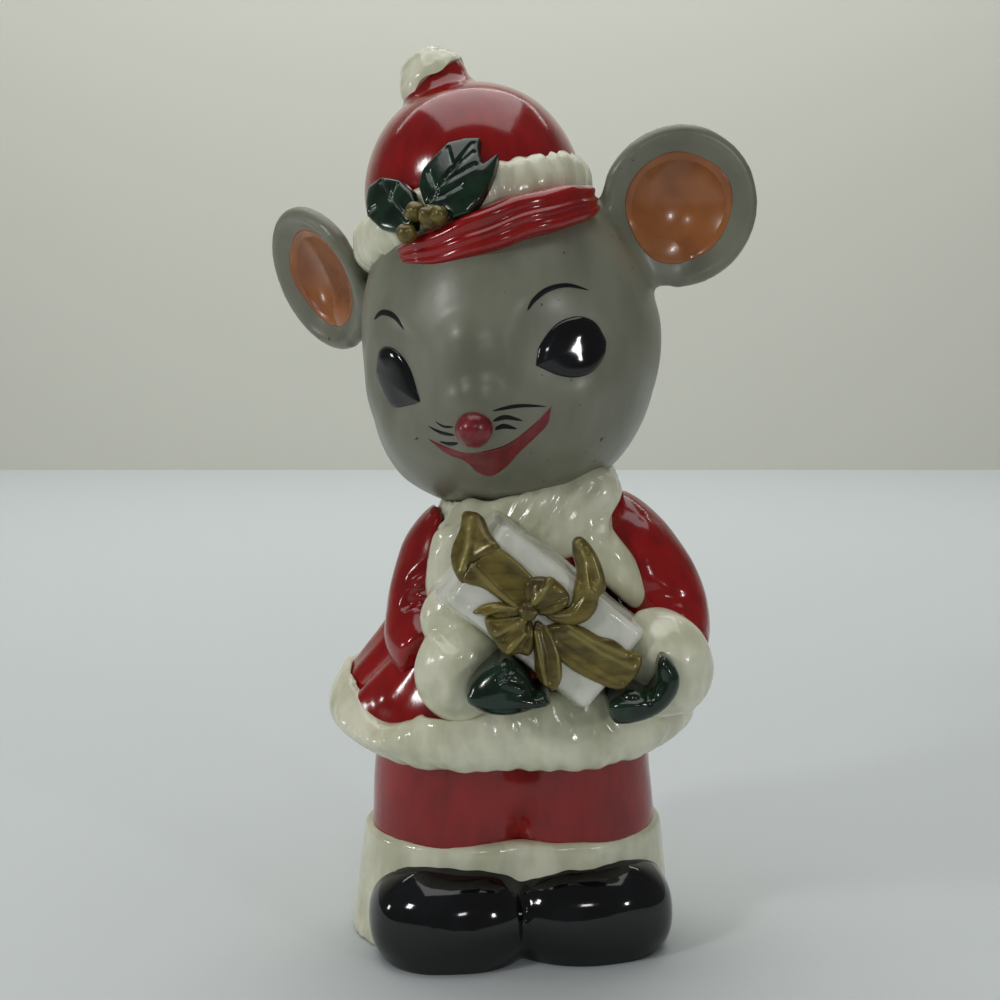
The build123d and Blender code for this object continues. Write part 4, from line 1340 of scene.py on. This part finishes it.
bowPieces = {  # stand is how far a piece's plane lies before the box
    "bow_left_loop": {
        "swell": 0.7, "stand": 0.7,
        "outline": [(472.2, 613.6), (482.5, 605.1), (498.6, 602.1), (512.0, 606.0), (523.8, 613.5),
                    (512.3, 618.7), (496.3, 618.7), (484.0, 614.8)],
        "ridges": [([(486, 614), (500, 608), (520, 611)], 0.5, 0.3),
                   ([(490, 616), (505, 615)], 0.5, -0.3)]},
    "bow_lower_loop": {
        "swell": 0.9, "stand": 0.6,
        "outline": [(485.3, 618.1), (487.6, 631.5), (494.0, 640.7), (501.3, 652.2), (508.2, 655.9),
                    (519.2, 654.0), (528.4, 656.3), (534.2, 647.6), (534.8, 631.5), (528.4, 615.3),
                    (516.9, 614.5), (498.6, 616.7)],
        "ridges": [([(528, 618), (512, 628), (497, 634)], 0.8, 0.35),
                   ([(526, 634), (514, 645), (508, 652)], 0.6, 0.35),
                   ([(530, 622), (526, 640), (520, 652)], 0.7, -0.35),
                   ([(520, 622), (504, 638)], 0.7, -0.3)]},
    "bow_upper_loop": {
        "swell": 0.9, "stand": 0.6,
        "outline": [(526.1, 581.0), (537.6, 576.4), (553.7, 578.7), (565.2, 587.9), (570.2, 599.4),
                    (565.2, 608.6), (553.7, 615.9), (539.9, 615.5), (528.4, 608.6), (524.3, 594.8)],
        "ridges": [([(532, 606), (545, 590), (552, 580)], 0.8, 0.35),
                   ([(534, 610), (553, 602), (566, 598)], 0.8, -0.35),
                   ([(528, 600), (533, 585)], 0.7, -0.3),
                   ([(548, 579), (545, 590)], 0.5, 0.3)]},
    "bow_lower_tail": {
        "swell": 0.8, "stand": 0.8,
        "outline": [(534.2, 645.3), (533.5, 631.5), (537.9, 620.1), (551.4, 634.4), (560.6, 657.1),
                    (562.4, 677.4), (556.0, 690.1), (549.1, 690.1), (540.4, 682.0), (535.3, 670.6)],
        "ridges": [([(541, 628), (549, 655), (551, 682)], 0.7, -0.35),
                   ([(546, 628), (557, 655), (559, 678)], 0.6, 0.3),
                   ([(536, 632), (541, 660), (546, 684)], 0.5, 0.25)]},
    "bow_upper_tail": {
        "swell": 0.8, "stand": 0.8,
        "outline": [(573.9, 539.2), (583.5, 537.4), (595.0, 551.2), (602.3, 567.2), (606.5, 587.9),
                    (599.6, 597.6), (597.3, 608.6), (588.1, 620.5), (572.0, 625.6), (551.4, 621.1),
                    (545.4, 612.1), (569.7, 606.7), (574.3, 587.9), (577.1, 571.8), (573.2, 553.5)],
        "ridges": [([(578, 542), (586, 560), (588, 590)], 0.8, 0.3),
                   ([(592, 556), (599, 578), (592, 592)], 0.6, 0.3),
                   ([(583, 550), (590, 570), (594, 588)], 0.6, -0.35),
                   ([(548, 615), (570, 612), (582, 596)], 0.7, -0.3)]},
    "bow_knot": {
        "swell": 0.7, "stand": 1.5,
        "outline": [(519.0, 606.0), (526.0, 601.5), (534.0, 605.0), (538.0, 613.0), (534.0, 620.5),
                    (525.0, 621.0), (519.0, 615.0)],
        "ridges": [([(528, 603), (529, 619)], 0.45, -0.3),
                   ([(521, 611), (536, 613)], 0.45, 0.2)]},
}
mittenMesh = {"voxel": 0.28, "rounds": 5}
mittenPieces = {
    "right": {
        "plane": (-3.0, -25.4, 42.5), "depth": 7.0, "swell": 2.6, "edge": 4.6,
        "outline": [(505.5, 657.9), (516.9, 667.1), (528.4, 679.7), (535.8, 693.5), (542.2, 689.4),
                    (551.4, 701.6), (542.2, 707.3), (528.4, 711.4), (507.8, 715.6), (489.4, 714.2),
                    (473.8, 707.3), (467.6, 698.1), (468.7, 686.6), (476.8, 675.2), (491.7, 663.7)],
        "creases": [([(499, 680), (510, 671), (514, 664)], 0.7, -0.4),
                    ([(504, 683), (521, 689)], 0.6, 0.35),
                    ([(505, 679), (522, 685)], 0.6, -0.4),
                    ([(470, 700), (510, 704), (545, 703)], 1.2, 0.3)]},
    "left": {
        "plane": (14.6, -25.6, 42.0), "depth": 8.0, "swell": 1.9, "edge": 3.0,
        "outline": [(662.7, 654.9), (671.9, 661.4), (678.8, 672.9), (679.9, 685.5), (673.1, 700.4),
                    (661.6, 711.9), (645.5, 719.9), (627.1, 723.8), (614.5, 722.9), (608.8, 714.2),
                    (608.8, 705.0), (619.1, 695.8), (629.4, 688.9), (640.9, 690.8), (649.0, 695.8),
                    (653.5, 686.6), (658.1, 677.4), (657.0, 666.0)],
        "creases": [([(612, 706), (640, 705), (655, 700)], 0.9, 0.3),
                    ([(612, 702), (636, 700)], 0.7, -0.3)]},
}


def buildBox():
    g = giftShape
    box = bmesh.new()
    spread = 2 * g["depth"] * math.tan(math.radians(g["draft"]))
    bmesh.ops.create_cube(box, size=1)
    for vert in box.verts:
        # The box widens towards its back
        front = vert.co.z > 0
        grow = 0.0 if front else spread
        vert.co.x = math.copysign((g["length"] + grow) / 2, vert.co.x)
        vert.co.y = math.copysign((g["width"] + grow) / 2, vert.co.y)
        vert.co.z = 0.0 if front else -g["depth"]
    bmesh.ops.bevel(box, geom=box.edges[:], offset=g["round"], offset_type="OFFSET", affect="EDGES",
                    segments=4, profile=0.5, material=-1)
    bmesh.ops.transform(box, matrix=giftPlace, verts=box.verts)
    box = remeshed(box, g["voxel"], 2)
    ripple(box, *g["waves"])
    mark(box, giftCreases)
    keepPiece("gift_box_glazed", box, "boxWhite", ["gift_box"])


# How wide, how finely and how strongly the raised ridges get their painted highlight
paintedRidgeHighlight = {"share": 0.6, "steps": 30, "strength": 0.8}  # share is that of the ridge's radius


def ridged(clay, ridges):
    # Strokes ridges and creases into the clay; the raised ridges also get a painted highlight, written in an
    # attribute
    skin = BVHTree.FromBMesh(clay)
    tree = treeOf(clay)
    ridgeHighlight = clay.verts.layers.float.new("ridgeHighlight")
    for pixels, radius, lift in ridges:
        path = castPath(skin, pixels)
        stroke(clay, tree, path, radius, lift)
        # A raised ridge gets a painted highlight along it
        if lift > 0:
            reach = radius * paintedRidgeHighlight["share"]
            tint(clay, tree, ridgeHighlight, path, reach, paintedRidgeHighlight["steps"], paintedRidgeHighlight["strength"])
    smoothed(clay, clay.verts, 1)
    return clay


def buildRibbon():
    ribbon = bmesh.new()
    flat = giftPlace @ moved(0, 0, ribbonStand)
    folded = giftPlace @ foldPlace
    for name, piece in ribbonPieces.items():
        # The end of the ribbon folds back over the box's upper end
        place, slab = (folded, foldSlab) if name == "end" else (flat, ribbonSlab)
        clay = relief(fromPixels(piece["outline"], place), place, **slab)
        joinInto(ribbon, ridged(clay, piece["ridges"]))
    keepPiece("gift_ribbon_glazed", ribbon, "gold", ["gift_ribbon"])


def buildBow():
    for name, piece in bowPieces.items():
        place = giftPlace @ moved(0, 0, piece["stand"])
        outline = fromPixels(piece["outline"], place)
        clay = relief(outline, place, piece["stand"] + bowSunk, piece["swell"], **bowSlab)
        clay = ridged(clay, piece["ridges"])
        keepPiece(name + "_glazed", clay, "gold", [name])


def buildMittens():
    for side, shape in mittenPieces.items():
        place = facing(shape["plane"], view["azimuth"])
        outline = fromPixels(shape["outline"], place, 4)
        clay = relief(outline, place, shape["depth"], shape["swell"], shape["edge"], **mittenMesh)
        mark(clay, shape["creases"])
        keepPiece(side + "_mitten_glazed", clay, "green", [side + "_mitten"])


buildBox()
buildRibbon()
buildBow()
buildMittens()
print("gift done")

# Studio: a pale bluish floor, a pale wall and soft windows
studio = {"wallBack": 577.0, "wallFoot": -100.0, "wide": 3000.0, "tall": 1500.0, "rough": 0.8, "weave": 0.97,
          "grain": 1.5, "shine": 0.2,
          "floorColour": (0.62, 0.66, 0.66), "wallColour": (0.72, 0.72, 0.64),
          "airColour": (0.86, 0.88, 0.90), "airStrength": 0.14}


def plainMaterial(name, colour):
    board = Board(name)
    darker = rgba(*[part * studio["weave"] for part in colour])
    shade = board.mixed(board.spots(studio["grain"]), darker, rgba(*colour))
    return board.finish({"Base Color": shade, "Roughness": studio["rough"],
                         "Specular IOR Level": studio["shine"]})


def addSheet(name, place, colour):
    bm = bmesh.new()
    bmesh.ops.create_grid(bm, x_segments=1, y_segments=1, size=studio["wide"] / 2, matrix=place)
    bmesh.ops.transform(bm, matrix=Matrix.Scale(millimetre, 4), verts=bm.verts)
    mesh = bpy.data.meshes.new(name)
    bm.to_mesh(mesh)
    bm.free()
    mesh.materials.append(plainMaterial(name + "Paint", colour))
    putInScene(name, mesh)


def addStage():
    wallMiddle = moved(0, studio["wallBack"], studio["tall"] / 2 + studio["wallFoot"])
    addSheet("floor", Matrix.Identity(4), studio["floorColour"])
    addSheet("wall", turned(view["azimuth"], "Z") @ wallMiddle @ turned(90, "X"), studio["wallColour"])


windows = {  # place, aim, size and power of each soft light
    "overhead": ((0, 120, 900), (0, 60, 0), (900, 900), 4.3),
    "leftWindow": ((-420, -260, 300), (0, 0, 80), (60, 90), 0.55),
    "rightWindow": ((300, -370, 150), (0, 0, 80), (36, 44), 0.22),
    "frontLamp": ((30, -330, 190), (0, 0, 80), (34, 26), 0.05),
    "sideWindow": ((-430, 10, 110), (0, 0, 80), (40, 50), 0.12),
    "wallWash": ((0, 330, 520), (0, 577, 180), (900, 60), 1.1),
}


def addLights():
    for name, (spot, aim, size, power) in windows.items():
        data = bpy.data.lights.new(name, "AREA")
        data.shape = "RECTANGLE"
        data.size, data.size_y = [side * millimetre for side in size]
        data.energy = power
        lamp = putInScene(name, data)
        lamp.location = Vector(spot) * millimetre
        lamp.rotation_euler = (Vector(aim) - Vector(spot)).to_track_quat("-Z", "Y").to_euler()
    world = bpy.data.worlds.new("room")
    world.use_nodes = True
    air = world.node_tree.nodes["Background"]
    air.inputs["Color"].default_value = rgba(*studio["airColour"])
    air.inputs["Strength"].default_value = studio["airStrength"]
    bpy.context.scene.world = world
    bpy.context.scene.view_settings.view_transform = "Standard"


addStage()
addLights()
print("studio done")
